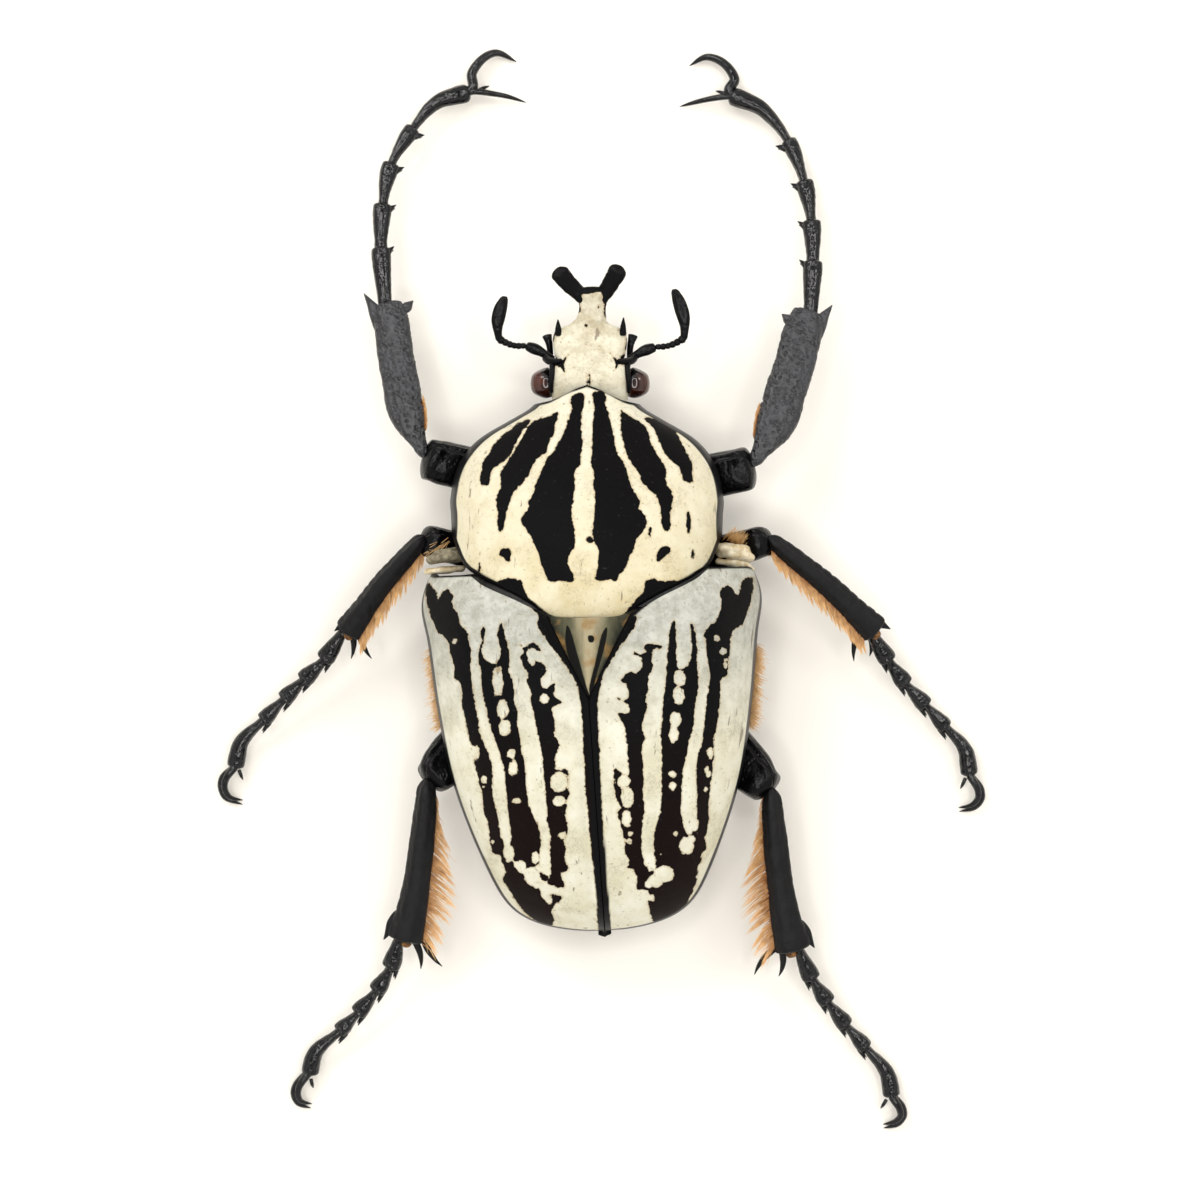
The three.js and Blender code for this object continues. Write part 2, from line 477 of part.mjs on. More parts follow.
function thigh({ hip, knee, pair }, grow = 0) {
  const [width, height] = SIZES[pair].thigh;
  const swell = (t) => 0.62 + 0.38 * Math.sin(Math.PI * Math.min(1, 0.12 + t * 0.95)) ** 0.7;
  return limb(straight(hip, knee), [0, 0.15, 0.4, 0.65, 0.88, 1], (t) => [width * swell(t), height * swell(t)], 8, grow);
}

function shin({ knee, ankle, pair, spread, spikes }, grow = 0) {
  const [from, to] = [knee, ankle].map((p) => new THREE.Vector3(...p));
  const along = new THREE.Vector3().subVectors(to, from);
  const across = new THREE.Vector3().crossVectors(along, new THREE.Vector3(0, 0, 1)).normalize();
  if (across.x * knee[0] < 0) across.negate();
  const rows = SHINS[pair];
  const [shift, width, height] = [1, 2, 3].map((column) => profile(rows.map((row) => [row[0], row[column]])));
  const line = {
    getPoint: (t) => from.clone().addScaledVector(along, t).addScaledVector(across, shift(t)),
    getTangent: () => along.clone().normalize(),
  };
  const shaft = limb(line, rows.map((row) => row[0]), (t) => [width(t) * spread, height(t)], 8, grow);
  const spike = ([root, tip, thick]) =>
    limb(straight(root, tip), [0, 0.45, 1], (t) => [thick * (1 - 0.85 * t), 0.6 * (1 - 0.8 * t)], 5, grow);
  return joined([shaft, ...spikes.map(spike)]);
}

const footPoints = ({ foot, pair }) => foot.map(([x, y], i) => new THREE.Vector3(x, y, SIZES[pair].levels[i]));
function foot(leg, grow = 0) {
  const ends = footPoints(leg);
  const base = SIZES[leg.pair].foot;
  const segments = [];
  for (let i = 0; i < 5; i++) {
    const way = new THREE.Vector3().subVectors(ends[i + 1], ends[i]).normalize();
    const start = ends[i].clone().addScaledVector(way, i ? -0.1 : 0.15);
    const line = new THREE.CatmullRomCurve3(i === 4 ? [start, ends[5], ends[6]] : [start, ends[i + 1]]);
    const [narrow, wide] = i === 4 ? [0.52, 0.95] : [0.72 - 0.06 * i, 1.02 - 0.03 * i];
    const size = (t) => [base * (narrow + (wide - narrow) * t ** 1.2), base * (0.5 + 0.28 * t)];
    segments.push(limb(line, i === 4 ? [0, 0.35, 0.7, 1] : [0, 0.7, 1], size, 6, grow));
  }
  return joined(segments);
}

function clawPair(leg) {
  const ends = footPoints(leg);
  const before = new THREE.Vector3().subVectors(ends[6], ends[5]).normalize();
  const root = ends[6].clone().addScaledVector(before, GAP + 0.05).toArray();
  const thick = SIZES[leg.pair].claw;
  const hub = ball([root[0] + before.x * 0.3, root[1] + before.y * 0.3, root[2] + 0.2], [0.7, 0.7, 1]);
  return joined([
    hub,
    ...leg.claws.map((plan, k) => {
      const slim = k ? (leg.pair === "front" ? 0.65 : 0.8) : 1;
      const taper = (t) => Array(2).fill(thick * slim * (1 - 0.75 * t ** 2));
      const [high, low] = k ? [ends[6].z + 1, 2.5] : [ends[6].z - 0.2, 0.4];
      const start = [root[0], root[1], root[2] + (k ? 0.4 : -0.1)];
      const path = plan.map(([x, y], i) => [x, y, high + (low - high) * (i / (plan.length - 1))]);
      return limb(curve([start, ...path]), [0, 0.25, 0.5, 0.8, 1], taper, 5);
    }),
  ]);
}

const bodyGrown = [wholeTrunk, prothorax(GAP), pronotumGrown, casesGrown, shoulder(-1, GAP), shoulder(1, GAP)];
for (const leg of LEGS) {
  const name = `${leg.pair}_${leg.side}`;
  const legGroup = new THREE.Group();
  beetle.add(legGroup);
  const coxa = (grow) => ball(leg.coxa, SIZES[leg.pair].hip, grow);
  addPiece(`${name}_coxa`, without(coxa(0), bodyGrown).intersect(aboveGround), BLACK, legGroup);
  addPiece(`${name}_femur`, without(thigh(leg), [coxa(GAP), ...bodyGrown]), BLACK, legGroup);
  addPiece(`${name}_tibia`, without(shin(leg), [thigh(leg, GAP)]), BLACK, legGroup);
  const ankleCut = without(foot(leg), [shin(leg, GAP)]);
  addPiece(`${name}_tarsus`, ankleCut.intersect(aboveGround), BLACK, legGroup);
  addPiece(`${name}_claws`, without(clawPair(leg), [foot(leg, GAP)]).intersect(aboveGround), BLACK, legGroup);
}

export default beetle;
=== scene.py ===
"""A dried, spread goliath beetle at life size, lying on its belly, seen from straight above."""

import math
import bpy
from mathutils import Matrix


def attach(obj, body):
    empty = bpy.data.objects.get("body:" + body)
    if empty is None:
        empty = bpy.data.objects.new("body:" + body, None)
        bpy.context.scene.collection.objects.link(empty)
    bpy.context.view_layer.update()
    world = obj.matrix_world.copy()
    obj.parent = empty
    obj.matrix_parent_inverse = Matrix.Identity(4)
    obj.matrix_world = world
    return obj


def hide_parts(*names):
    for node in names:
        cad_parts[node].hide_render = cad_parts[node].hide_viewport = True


bl_info = {
    "name": "Goliath beetle",
    "version": (1, 0, 0),
    "blender": (4, 5, 0),
    "location": "View3D > Sidebar > Beetle",
    "description": "Builds a dried, spread goliath beetle piece by piece",
    "category": "Add Mesh",
}

import bpy
import mathutils
import numpy as np
from bpy.props import FloatProperty, FloatVectorProperty, PointerProperty

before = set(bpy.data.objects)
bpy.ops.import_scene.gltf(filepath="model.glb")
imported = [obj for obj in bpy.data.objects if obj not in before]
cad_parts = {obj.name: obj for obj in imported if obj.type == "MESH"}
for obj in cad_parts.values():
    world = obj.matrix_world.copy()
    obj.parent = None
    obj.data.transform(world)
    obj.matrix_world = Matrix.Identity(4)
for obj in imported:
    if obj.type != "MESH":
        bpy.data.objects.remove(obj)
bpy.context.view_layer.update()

MM = 0.001  # the shapes below are worked out in millimetres
BODY = "root"
UP = (0, 0, 1)
TINY = 1e-9  # keeps a length that is divided by from being nothing
CREASE = math.radians(40)  # faces that meet at more than this keep a sharp edge
MERGE = 1.5e-6  # corners closer than this are one, in metres
ARCH = 3.14  # the half turn of a bow that is level at both ends

# ---------------------------------------------------------------- shape of the body
PRONOTUM_SIDE, PRONOTUM_FRONT_HALF = 15.6, 6.2
PRONOTUM_WIDTH = [(5, 15.9), (10, 16.05), (12, 16.15), (15.6, 15.4), (17.8, 14.1), (19.5, 12.3), (21.5, 8.9),
                  (22.6, 7.0), (23.5, 6.0), (25.4, 4.6)]
PRONOTUM_REAR = [(0, -2.5), (3.4, -2.4), (4.6, -1.9), (6, -0.8), (8, 0.5), (10.4, 1.7), (12.5, 2.8), (14.2, 4.2),
                 (15.6, 7.4)]
PRONOTUM_FRONT = [(0, 25.5), (2.05, 24.85), (4.2, 23.75), (5, 23.5), (6.2, 23.3)]  # across, forward
PRONOTUM_TOP = [(-3, 24.4), (2, 25.4), (8, 25), (14, 22.6), (20, 18.4), (25.4, 14.6)]
PRONOTUM_EDGE = [(-3, 13), (8, 12.4), (25.4, 11.4)]
PROTHORAX_KEEL = [(5, 3), (9, 1.8), (15, 2.6), (20, 5), (25, 8)]

REAR_TURN = math.radians(1.8)
REAR_ORIGIN = (0.45, 3.0)
REAR_LENGTH = 45.6
REAR_START = 3  # the hind body's own y is this less the way back from its shoulders
TAIL_FROM = 36  # how far back the tail begins to round off
CASE_WIDTH = [(0, 17.2), (1.3, 18.1), (3, 19.4), (6.2, 20.3), (10.5, 19.7), (18.6, 18.8), (27.5, 17.2), (36.4, 14.1),
              (45.6, 9.8)]
CASE_TOP = [(0, 24), (8, 25.8), (20, 25.2), (32, 21.8), (40, 17.6), (45.6, 14)]
CASE_EDGE = [(0, 12), (6, 10.6), (20, 10), (45.6, 9.4)]
SUTURE_LINE = [(7, -0.3), (16, -0.65), (22, -0.5), (45.6, 0.35)]
BELLY = [(1, 3), (3.4, -0.6), (17, -0.6), (21, 1.2), (30, 4), (38, 7), (44.5, 9)]
SCUTELLUM_FROM, SCUTELLUM_TIP, SCUTELLUM_HALF = 7.2, 17.6, 5.2
SHOULDER_BACK = {-1: -0.6, 1: 0.4}  # how far each wing case's outer front corner stands back
SQUARE = 2.3  # squareness of the arched sections
END_CAP = 0.7  # the length over which a closed body rounds off at its ends
FRONT_CORNER = 13.6  # past this the wing cases' front edge runs straight on
PLATE_GAP = 0.12  # between the shield and the wing cases
SEAM_GAP = 0.06  # from the seam's middle to each wing case
SOCKET_LEVEL = 11.2  # height of the head's widest line

HEAD_X = 0.35
HEAD_WIDTH = [(22.4, 4.4), (25.5, 4.6), (27.3, 4.6), (27.9, 4.4), (28.3, 4.1), (28.7, 4.05), (29.2, 4.2),
              (30.6, 4.42), (31.4, 4.38), (32, 4.15), (32.4, 3.6), (32.65, 2.9), (32.9, 2.35), (33.3, 1.95),
              (33.9, 1.75)]
HEAD_TOP = [(22.4, 12.6), (24.2, 13.4), (26, 14.3), (28.4, 14.3), (30.5, 13.6), (32, 13.0), (33.9, 13.1)]
HEAD_KEEL = [(22.4, 7.5), (29, 6.4), (31.6, 8), (32.6, 10.4), (33.9, 11.5)]

# Half-width and half-height of the thigh, half-thickness of the claws, the hip's radii, and the height of
# each point of the foot's line
LEG_SIZES = {
    "front": {"thigh": (2.6, 2.0), "claw": 0.66, "hip": (3.4, 3.4, 4.2),
              "levels": (6.6, 5.7, 4.9, 4.1, 3.3, 2.7, 2.2)},
    "middle": {"thigh": (1.95, 1.9), "claw": 0.5, "hip": (4.4, 3.0, 3.4),
               "levels": (6.6, 5.6, 4.6, 3.7, 2.9, 2.2, 1.7)},
    "hind": {"thigh": (2.6, 2.1), "claw": 0.52, "hip": (7.4, 3.4, 3.0),
             "levels": (6.2, 5.2, 4.3, 3.4, 2.7, 2.1, 1.6)},
}
# Along each shin from the knee: shift outwards, half-width, half-height
SHINS = {
    "front": [(-0.02, -0.6, 0.4, 0.5), (0.02, -0.55, 0.7, 0.75), (0.05, -0.4, 0.8, 0.85), (0.09, -0.25, 0.95, 0.95),
              (0.16, 0.05, 1.4, 1.05), (0.25, 0.36, 2.0, 1.15), (0.37, 0.52, 2.22, 1.2),
              (0.475, 0.4, 2.22, 1.2), (0.66, 0.37, 2.18, 1.15), (0.85, 0.05, 2.12, 1.1), (0.96, 0, 1.8, 1),
              (1, 0, 1.5, 0.9)],
    "middle": [(-0.04, 0, 0.6, 0.9), (0, 0, 0.8, 1.1), (0.08, 0.05, 0.95, 1.2), (0.2, 0.15, 1.08, 1.25),
               (0.5, 0.35, 1.24, 1.3), (0.75, 0.2, 1.36, 1.35), (0.93, 0.05, 1.6, 1.35), (1, 0, 1.68, 1.3)],
    "hind": [(-0.03, 0.1, 0.6, 0.9), (0, 0, 0.85, 1.1), (0.06, -0.05, 1.1, 1.25), (0.15, -0.2, 1.25, 1.3),
             (0.4, -0.42, 1.46, 1.35), (0.6, -0.5, 1.52, 1.35), (0.8, -0.42, 1.78, 1.4), (0.95, -0.1, 2.1, 1.4),
             (1, 0, 2.12, 1.3)],
}
LEGS = [
    {"name": "front_left", "coxa": (-5.6, 13.2, 4.4), "hip": (-9.4, 14.6, 6.8), "knee": (-20.0, 17.0, 10.4),
     "ankle": (-23.97, 35.9, 7), "spread": 1.0,
     "foot": [(-24.4, 36.0), (-24.9, 42.5), (-24.7, 47.8), (-23.7, 52.8), (-21.1, 57.2), (-18.3, 60.4),
              (-14.2, 61.7)],
     "claws": [[(-13.9, 62.3), (-14.0, 64.0), (-12.6, 65.9), (-10.9, 66.6), (-8.6, 65.6)],
               [(-13.6, 61.7), (-11.6, 61.5), (-9.6, 61.2), (-7.4, 60.6)]],
     "spine": ((-13.2, 61.9), (-11.9, 62.5)),
     "teeth": [((-24.7, 31.6), (-26.85, 36.9), 0.85), ((-22.3, 34.6), (-20.9, 36.0), 0.62)]},
    {"name": "front_right", "coxa": (5.6, 13.2, 4.4), "hip": (9.6, 13.8, 6.8), "knee": (20.35, 15.9, 10.4),
     "ankle": (26.75, 34.9, 7), "spread": 1.12,
     "foot": [(26.9, 34.9), (27.2, 40.9), (27.05, 45.8), (26.2, 50.7), (24.3, 55.7), (21.0, 59.7), (17.2, 61.3)],
     "claws": [[(17.2, 61.9), (17.9, 63.3), (16.55, 65.3), (14.5, 66.1), (12.4, 65.1)],
               [(17.0, 61.1), (15.2, 60.9), (13.4, 60.6), (11.2, 60.1)]],
     "spine": ((17.0, 61.4), (15.6, 61.9)),
     "teeth": [((27.1, 30.4), (29.5, 35.5), 0.95), ((24.8, 33.2), (23.4, 34.4), 0.62)]},
    {"name": "middle_left", "coxa": (-6.2, 3.4, 3.4), "hip": (-10.2, 4.8, 6), "knee": (-19.7, 7.2, 12),
     "ankle": (-28.9, -3.9, 7), "spread": 1.0,
     "foot": [(-29.5, -4.05), (-31.75, -7.25), (-34.3, -9.7), (-36.7, -12.0), (-39.3, -14.6), (-42.0, -17.3),
              (-42.75, -20.5)],
     "claws": [[(-43.1, -20.5), (-44.3, -21.6), (-44.55, -22.85), (-44.0, -24.1), (-42.0, -24.95)],
               [(-43.0, -20.5), (-43.9, -21.7), (-44.1, -22.9), (-43.5, -24.0), (-41.9, -24.4)]],
     "spine": ((-42.35, -20.6), (-41.9, -21.9)), "teeth": [((-27.6, -1.5), (-30.4, -3.75), 0.7)],
     "spurs": [((-28.4, -3.6), (-28.5, -7.1)), ((-27.5, -3.4), (-26.0, -7.1))]},
    {"name": "middle_right", "coxa": (7.2, 3.2, 3.4), "hip": (11.2, 4.6, 6), "knee": (22.0, 7.1, 12),
     "ankle": (34.8, -3.8, 7), "spread": 1.05,
     "foot": [(34.3, -4.1), (36.4, -7.3), (38.5, -10.1), (41.0, -12.7), (43.5, -15.4), (45.9, -18.1), (46.5, -21.4)],
     "claws": [[(46.7, -21.5), (47.8, -22.9), (47.95, -24.2), (47.1, -25.3), (45.3, -25.8)],
               [(46.6, -21.5), (47.4, -22.9), (47.5, -24.1), (46.7, -25.0), (45.2, -25.3)]],
     "spine": ((46.0, -21.6), (45.4, -23.0)), "teeth": [((33.3, -1.8), (36.5, -3.5), 0.7)],
     "spurs": [((32.9, -3.4), (32.2, -7.4)), ((33.9, -3.7), (34.1, -6.8))]},
    {"name": "hind_left", "coxa": (-7, -10.6, 2.6), "hip": (-11, -13.4, 4.2), "knee": (-19.1, -21.8, 10),
     "ankle": (-22.1, -41.1, 6.5), "spread": 1.0,
     "foot": [(-22.7, -41.0), (-23.75, -44.4), (-25.5, -47.3), (-27.8, -50.05), (-30.05, -52.35), (-33.0, -55.0),
              (-33.75, -57.8)],
     "claws": [[(-34.3, -57.8), (-35.4, -59.0), (-35.7, -60.1), (-35.2, -61.3), (-33.7, -61.95)],
               [(-34.2, -57.9), (-35.0, -59.1), (-35.2, -60.1), (-34.8, -61.0), (-33.5, -61.4)]],
     "spine": ((-33.6, -58.2), (-33.35, -59.4)), "teeth": [((-22.2, -37.1), (-24.5, -40.9), 0.8)],
     "spurs": [((-20.8, -41.0), (-20.1, -44.6)), ((-19.8, -40.7), (-17.5, -44.3))]},
    {"name": "hind_right", "coxa": (8.6, -10.6, 2.6), "hip": (12.8, -13.4, 4.2), "knee": (22.0, -22.9, 10),
     "ankle": (24.9, -42.3, 6.5), "spread": 1.0,
     "foot": [(25.6, -42.3), (27.2, -45.7), (29.1, -48.6), (31.4, -51.5), (33.8, -54.3), (36.4, -57.4),
              (37.1, -60.5)],
     "claws": [[(37.3, -60.5), (38.25, -61.6), (38.5, -62.7), (37.8, -63.8), (36.1, -64.4)],
               [(37.2, -60.6), (37.9, -61.7), (38.1, -62.7), (37.4, -63.5), (36.0, -63.9)]],
     "spine": ((36.4, -60.7), (35.7, -61.9)), "teeth": [((25.0, -38.3), (27.4, -41.9), 0.8)],
     "spurs": [((22.7, -41.9), (20.2, -45.3)), ((23.5, -42.2), (23.15, -45.5))]},
]

# ---------------------------------------------------------------- markings
# The black markings are drawn on plans of the beetle seen from straight above, EYE_HEIGHT over the
# ground. Each plan is (left, top, zoom) on one sheet whose unit is SHEET_MM at ground level.
SHEET_MM, SHEET_MIDDLE, EYE_HEIGHT, VIEW_X = 0.122, 600, 500, 1.55
BACK_SCALE = 0.95  # the back stands nearer to the eye, so its units are smaller
HEAD_PLAN = (530, 260, 11.2)
PRONOTUM_PLAN = (440, 380, 5.2267)
LEFT_PLAN = (410, 520, 3.6465)
RIGHT_PLAN = (580, 520, 3.6465)

PRONOTUM_BLACK = [
    [(705, 72), (748, 70), (752, 130), (738, 185), (740, 260), (745, 330), (735, 400), (733, 445), (705, 478),
     (706, 560),
     (695, 640), (690, 700), (700, 770), (708, 830), (700, 880), (678, 915), (668, 960), (690, 1000), (697, 1055),
     (640, 1050), (565, 1050), (548, 1000), (525, 960), (518, 905), (490, 860), (470, 810), (445, 775), (422, 735),
     (440, 700), (465, 670), (462, 635), (485, 600), (500, 545), (520, 495), (545, 440), (560, 405), (590, 380),
     (615, 330), (650, 265), (675, 190), (690, 150), (680, 115), (690, 85)],
    [(800, 68), (850, 60), (873, 95), (862, 118), (880, 165), (890, 220), (905, 270), (915, 340), (935, 400),
     (960, 430),
     (985, 505), (1010, 570), (1045, 635), (1042, 670), (1085, 735), (1060, 790), (1030, 830), (1010, 890),
     (985, 930),
     (975, 980), (935, 1020), (925, 1050), (880, 1045), (810, 1045), (822, 985), (830, 900), (810, 850), (795, 790),
     (808, 700), (808, 620), (800, 540), (805, 480), (785, 440), (795, 370), (795, 300), (800, 220), (808, 150),
     (800, 100)],
    [(612, 168), (618, 200), (600, 240), (600, 275), (570, 320), (555, 380), (520, 405), (495, 430), (470, 480),
     (440, 530),
     (395, 575), (370, 625), (350, 680), (340, 735), (322, 790), (305, 785), (300, 740), (302, 690), (295, 650),
     (300, 600), (318, 560), (318, 490), (330, 455), (370, 400), (400, 350), (440, 280), (475, 225), (530, 200),
     (575, 185)],
    [(948, 160), (975, 175), (1010, 200), (1060, 230), (1085, 270), (1108, 340), (1140, 395), (1170, 440),
     (1185, 490),
     (1180, 530), (1215, 590), (1215, 640), (1205, 700), (1205, 760), (1190, 790), (1168, 780), (1155, 720),
     (1150, 660),
     (1130, 610), (1100, 580), (1060, 540), (1040, 490), (1005, 440), (975, 390), (962, 330), (945, 270), (945, 200)],
    [(480, 212), (450, 245), (425, 280), (395, 330), (370, 385), (330, 425), (280, 465), (265, 495), (255, 545),
     (220, 548),
     (208, 520), (215, 480), (222, 430), (250, 390), (280, 340), (320, 295), (370, 255), (430, 215)],
    [(1070, 205), (1100, 195), (1150, 205), (1200, 235), (1235, 275), (1265, 330), (1290, 380), (1315, 425),
     (1318, 480),
     (1320, 530), (1280, 530), (1258, 490), (1245, 450), (1200, 415), (1170, 370), (1140, 310), (1115, 250)],
    [(318, 885), (345, 875), (370, 890), (368, 925), (358, 952), (335, 930), (312, 915)],
    [(1150, 880), (1180, 868), (1205, 880), (1195, 910), (1165, 930), (1140, 950), (1132, 915)],
    [(296, 1060), (322, 1045), (350, 1035), (420, 1045), (440, 1090), (465, 1140), (520, 1190), (575, 1238),
     (620, 1262),
     (560, 1330), (240, 1130)],
    [(1262, 1052), (1150, 1050), (1135, 1038), (1075, 1045), (1065, 1100), (1030, 1140), (985, 1195), (945, 1240),
     (925, 1264), (1000, 1330), (1300, 1110)],
    [(1297, 685), (1311, 710), (1311, 765), (1303, 802), (1292, 790), (1289, 720)],
    [(1097, 770), (1107, 790), (1097, 825), (1086, 800)],
    [(1322, 883), (1330, 910), (1320, 938), (1312, 910)],
    [(775, 818), (800, 830), (795, 855), (765, 840)],
    [(205, 955), (213, 985), (202, 1012), (197, 985)],
]
LEFT_CASE_BLACK = [
    [(70, 230), (80, 245), (95, 262), (103, 290), (120, 262), (140, 252), (150, 268), (160, 275), (152, 300),
     (165, 330),
     (178, 350), (180, 380), (205, 400), (215, 440), (222, 500), (222, 560), (230, 620), (240, 680), (248, 730),
     (255, 780), (275, 830), (295, 880), (302, 940), (300, 1000), (315, 1060), (325, 1110), (330, 1150), (345, 1190),
     (345, 1235), (335, 1250), (330, 1225), (302, 1212), (290, 1160), (285, 1110), (270, 1060), (262, 1000),
     (250, 940),
     (238, 900), (235, 868), (252, 868), (250, 835), (225, 820), (212, 780), (200, 720), (188, 660), (185, 600),
     (162, 575), (160, 530), (148, 490), (140, 450), (125, 425), (100, 410), (90, 380), (75, 350), (62, 300),
     (56, 260),
     (60, 235)],
    [(333, 370), (340, 390), (345, 420), (358, 460), (362, 500), (360, 550), (372, 580), (378, 620), (380, 660),
     (392, 700), (390, 740), (400, 780), (405, 830), (415, 880), (422, 930), (425, 980), (432, 1030), (445, 1070),
     (465, 1110), (475, 1150), (478, 1185), (470, 1225), (470, 1258), (440, 1265), (420, 1270), (400, 1245),
     (375, 1240),
     (365, 1200), (370, 1150), (362, 1100), (358, 1050), (352, 1000), (348, 950), (345, 920), (335, 880), (325, 840),
     (305, 790), (290, 740), (280, 690), (265, 640), (262, 590), (258, 550), (250, 510), (250, 480), (262, 440),
     (258, 410), (265, 392), (272, 400), (270, 440), (262, 470), (268, 500), (290, 520), (315, 520), (330, 490),
     (325, 450), (318, 420), (322, 395)],
    [(403, 455), (420, 462), (445, 447), (465, 455), (478, 478), (462, 474), (440, 466), (426, 480), (432, 515),
     (445, 530), (455, 515), (480, 520), (497, 550), (478, 580), (480, 605), (500, 615), (530, 590), (525, 640),
     (555, 665), (525, 680), (515, 690), (525, 720), (528, 760), (530, 790), (547, 825), (532, 850), (530, 900),
     (545, 915), (570, 908), (579, 935), (575, 970), (583, 1000), (570, 1020), (572, 1045), (565, 1060), (570, 1090),
     (575, 1120), (573, 1150), (560, 1170), (568, 1200), (565, 1240), (578, 1280), (550, 1285), (555, 1310),
     (565, 1335),
     (540, 1340), (500, 1322), (515, 1290), (512, 1240), (510, 1190), (512, 1140), (500, 1100), (500, 1050),
     (495, 1000),
     (490, 950), (485, 900), (480, 850), (470, 800), (460, 750), (450, 700), (440, 660), (440, 620), (425, 590),
     (430, 560), (412, 530), (405, 500), (415, 480)],
    [(345, 1235), (372, 1240), (385, 1272), (415, 1292), (415, 1312), (450, 1338), (470, 1345), (480, 1372),
     (500, 1395),
     (518, 1390), (512, 1368), (548, 1370), (550, 1388), (530, 1400), (518, 1430), (525, 1460), (510, 1480),
     (470, 1466),
     (430, 1442), (390, 1395), (360, 1345), (338, 1310), (350, 1285), (335, 1250)],
    [(470, 1285), (500, 1300), (505, 1318), (480, 1310)],
    [(310, 235), (350, 262), (400, 290), (440, 320), (470, 350), (462, 380), (480, 410), (500, 440), (530, 480),
     (560, 520), (585, 560), (605, 590), (620, 650), (628, 720), (631, 800), (636, 900), (642, 1000), (651, 1100),
     (661, 1200), (674, 1300), (684, 1400), (690, 1500), (760, 1600), (760, 200), (330, 160)],
]
LEFT_CASE_SPOTS = [
    (162, 441, 9, 9), (270, 947, 11, 14), (267, 973, 5, 5), (301, 1173, 6, 8), (240, 846, 13, 27), (320, 587, 20, 54),
    (338, 690, 23, 33), (345, 757, 23, 29), (370, 853, 16, 17), (375, 905, 17, 26), (389, 1025, 14, 11),
    (490, 652, 17, 18), (554, 1150, 12, 13), (543, 955, 31, 37), (543, 1025, 23, 20), (457, 1233, 14, 22),
    (360, 1215, 20, 30), (405, 1263, 18, 22), (445, 1298, 30, 27), (510, 1385, 10, 13), (445, 497, 13, 30),
]
RIGHT_CASE_BLACK = [
    [(605, 210), (632, 215), (630, 260), (620, 310), (605, 350), (590, 385), (560, 400), (550, 440), (545, 480),
     (540, 540), (535, 570), (515, 580), (512, 640), (505, 700), (500, 750), (487, 800), (487, 830), (488, 870),
     (480, 930), (475, 980), (470, 1040), (470, 1080), (465, 1130), (455, 1160), (462, 1190), (440, 1215),
     (430, 1235),
     (425, 1290), (400, 1250), (400, 1200), (425, 1160), (430, 1110), (425, 1060), (427, 1000), (425, 950),
     (425, 900),
     (430, 860), (440, 830), (450, 780), (455, 740), (460, 690), (465, 640), (475, 580), (470, 540), (465, 500),
     (458, 450), (455, 410), (470, 385), (490, 375), (505, 350), (515, 310), (512, 260), (530, 240), (550, 245),
     (570, 270), (582, 270), (585, 235)],
    [(342, 362), (350, 390), (350, 440), (352, 500), (357, 540), (385, 540), (405, 500), (410, 450), (403, 400),
     (405, 373), (415, 395), (425, 430), (427, 500), (432, 560), (430, 620), (418, 680), (415, 740), (400, 790),
     (390, 850), (378, 900), (372, 950), (370, 1000), (370, 1060), (378, 1120), (398, 1150), (425, 1135), (440, 1200),
     (430, 1260), (290, 1265), (275, 1240), (270, 1180), (275, 1120), (290, 1080), (297, 1030), (297, 960),
     (300, 900),
     (297, 830), (295, 770), (300, 720), (302, 670), (308, 620), (315, 560), (318, 500), (322, 440), (330, 400)],
    [(235, 462), (262, 450), (300, 460), (290, 470), (268, 470), (262, 500), (265, 540), (250, 570), (248, 620),
     (240, 660), (245, 680), (235, 710), (225, 755), (238, 795), (225, 840), (230, 900), (232, 940), (230, 1000),
     (235, 1050), (230, 1100), (225, 1150), (225, 1200), (230, 1235), (240, 1262), (255, 1282), (245, 1310),
     (225, 1345), (205, 1345), (210, 1310), (190, 1272), (168, 1270), (180, 1245), (163, 1210), (165, 1175),
     (150, 1120), (135, 1058), (150, 1052), (128, 1000), (125, 905), (150, 925), (170, 928), (178, 920), (174, 870),
     (170, 800), (158, 745), (138, 705), (165, 707), (183, 690), (163, 664), (132, 648), (160, 655), (178, 640),
     (168, 600), (148, 583), (180, 555), (205, 558), (228, 530), (222, 500), (195, 494), (198, 482), (222, 490),
     (238, 480)],
    [(270, 1180), (275, 1240), (278, 1270), (250, 1285), (235, 1300), (205, 1285), (212, 1320), (222, 1348),
     (245, 1350),
     (258, 1368), (270, 1390), (248, 1388), (255, 1430), (268, 1462), (300, 1469), (350, 1449), (385, 1405),
     (415, 1345),
     (430, 1295), (425, 1240), (445, 1215), (462, 1190), (430, 1150), (398, 1152), (378, 1130), (300, 1120)],
    [(370, 222), (300, 260), (240, 300), (195, 345), (205, 355), (200, 390), (170, 430), (140, 470), (110, 520),
     (85, 560), (75, 600), (68, 640), (64, 700), (68, 800), (73, 900), (78, 1000), (82, 1100), (86, 1200), (92, 1300),
     (100, 1400), (108, 1500), (60, 1600), (-40, 1600), (-60, 200), (330, 160)],
]
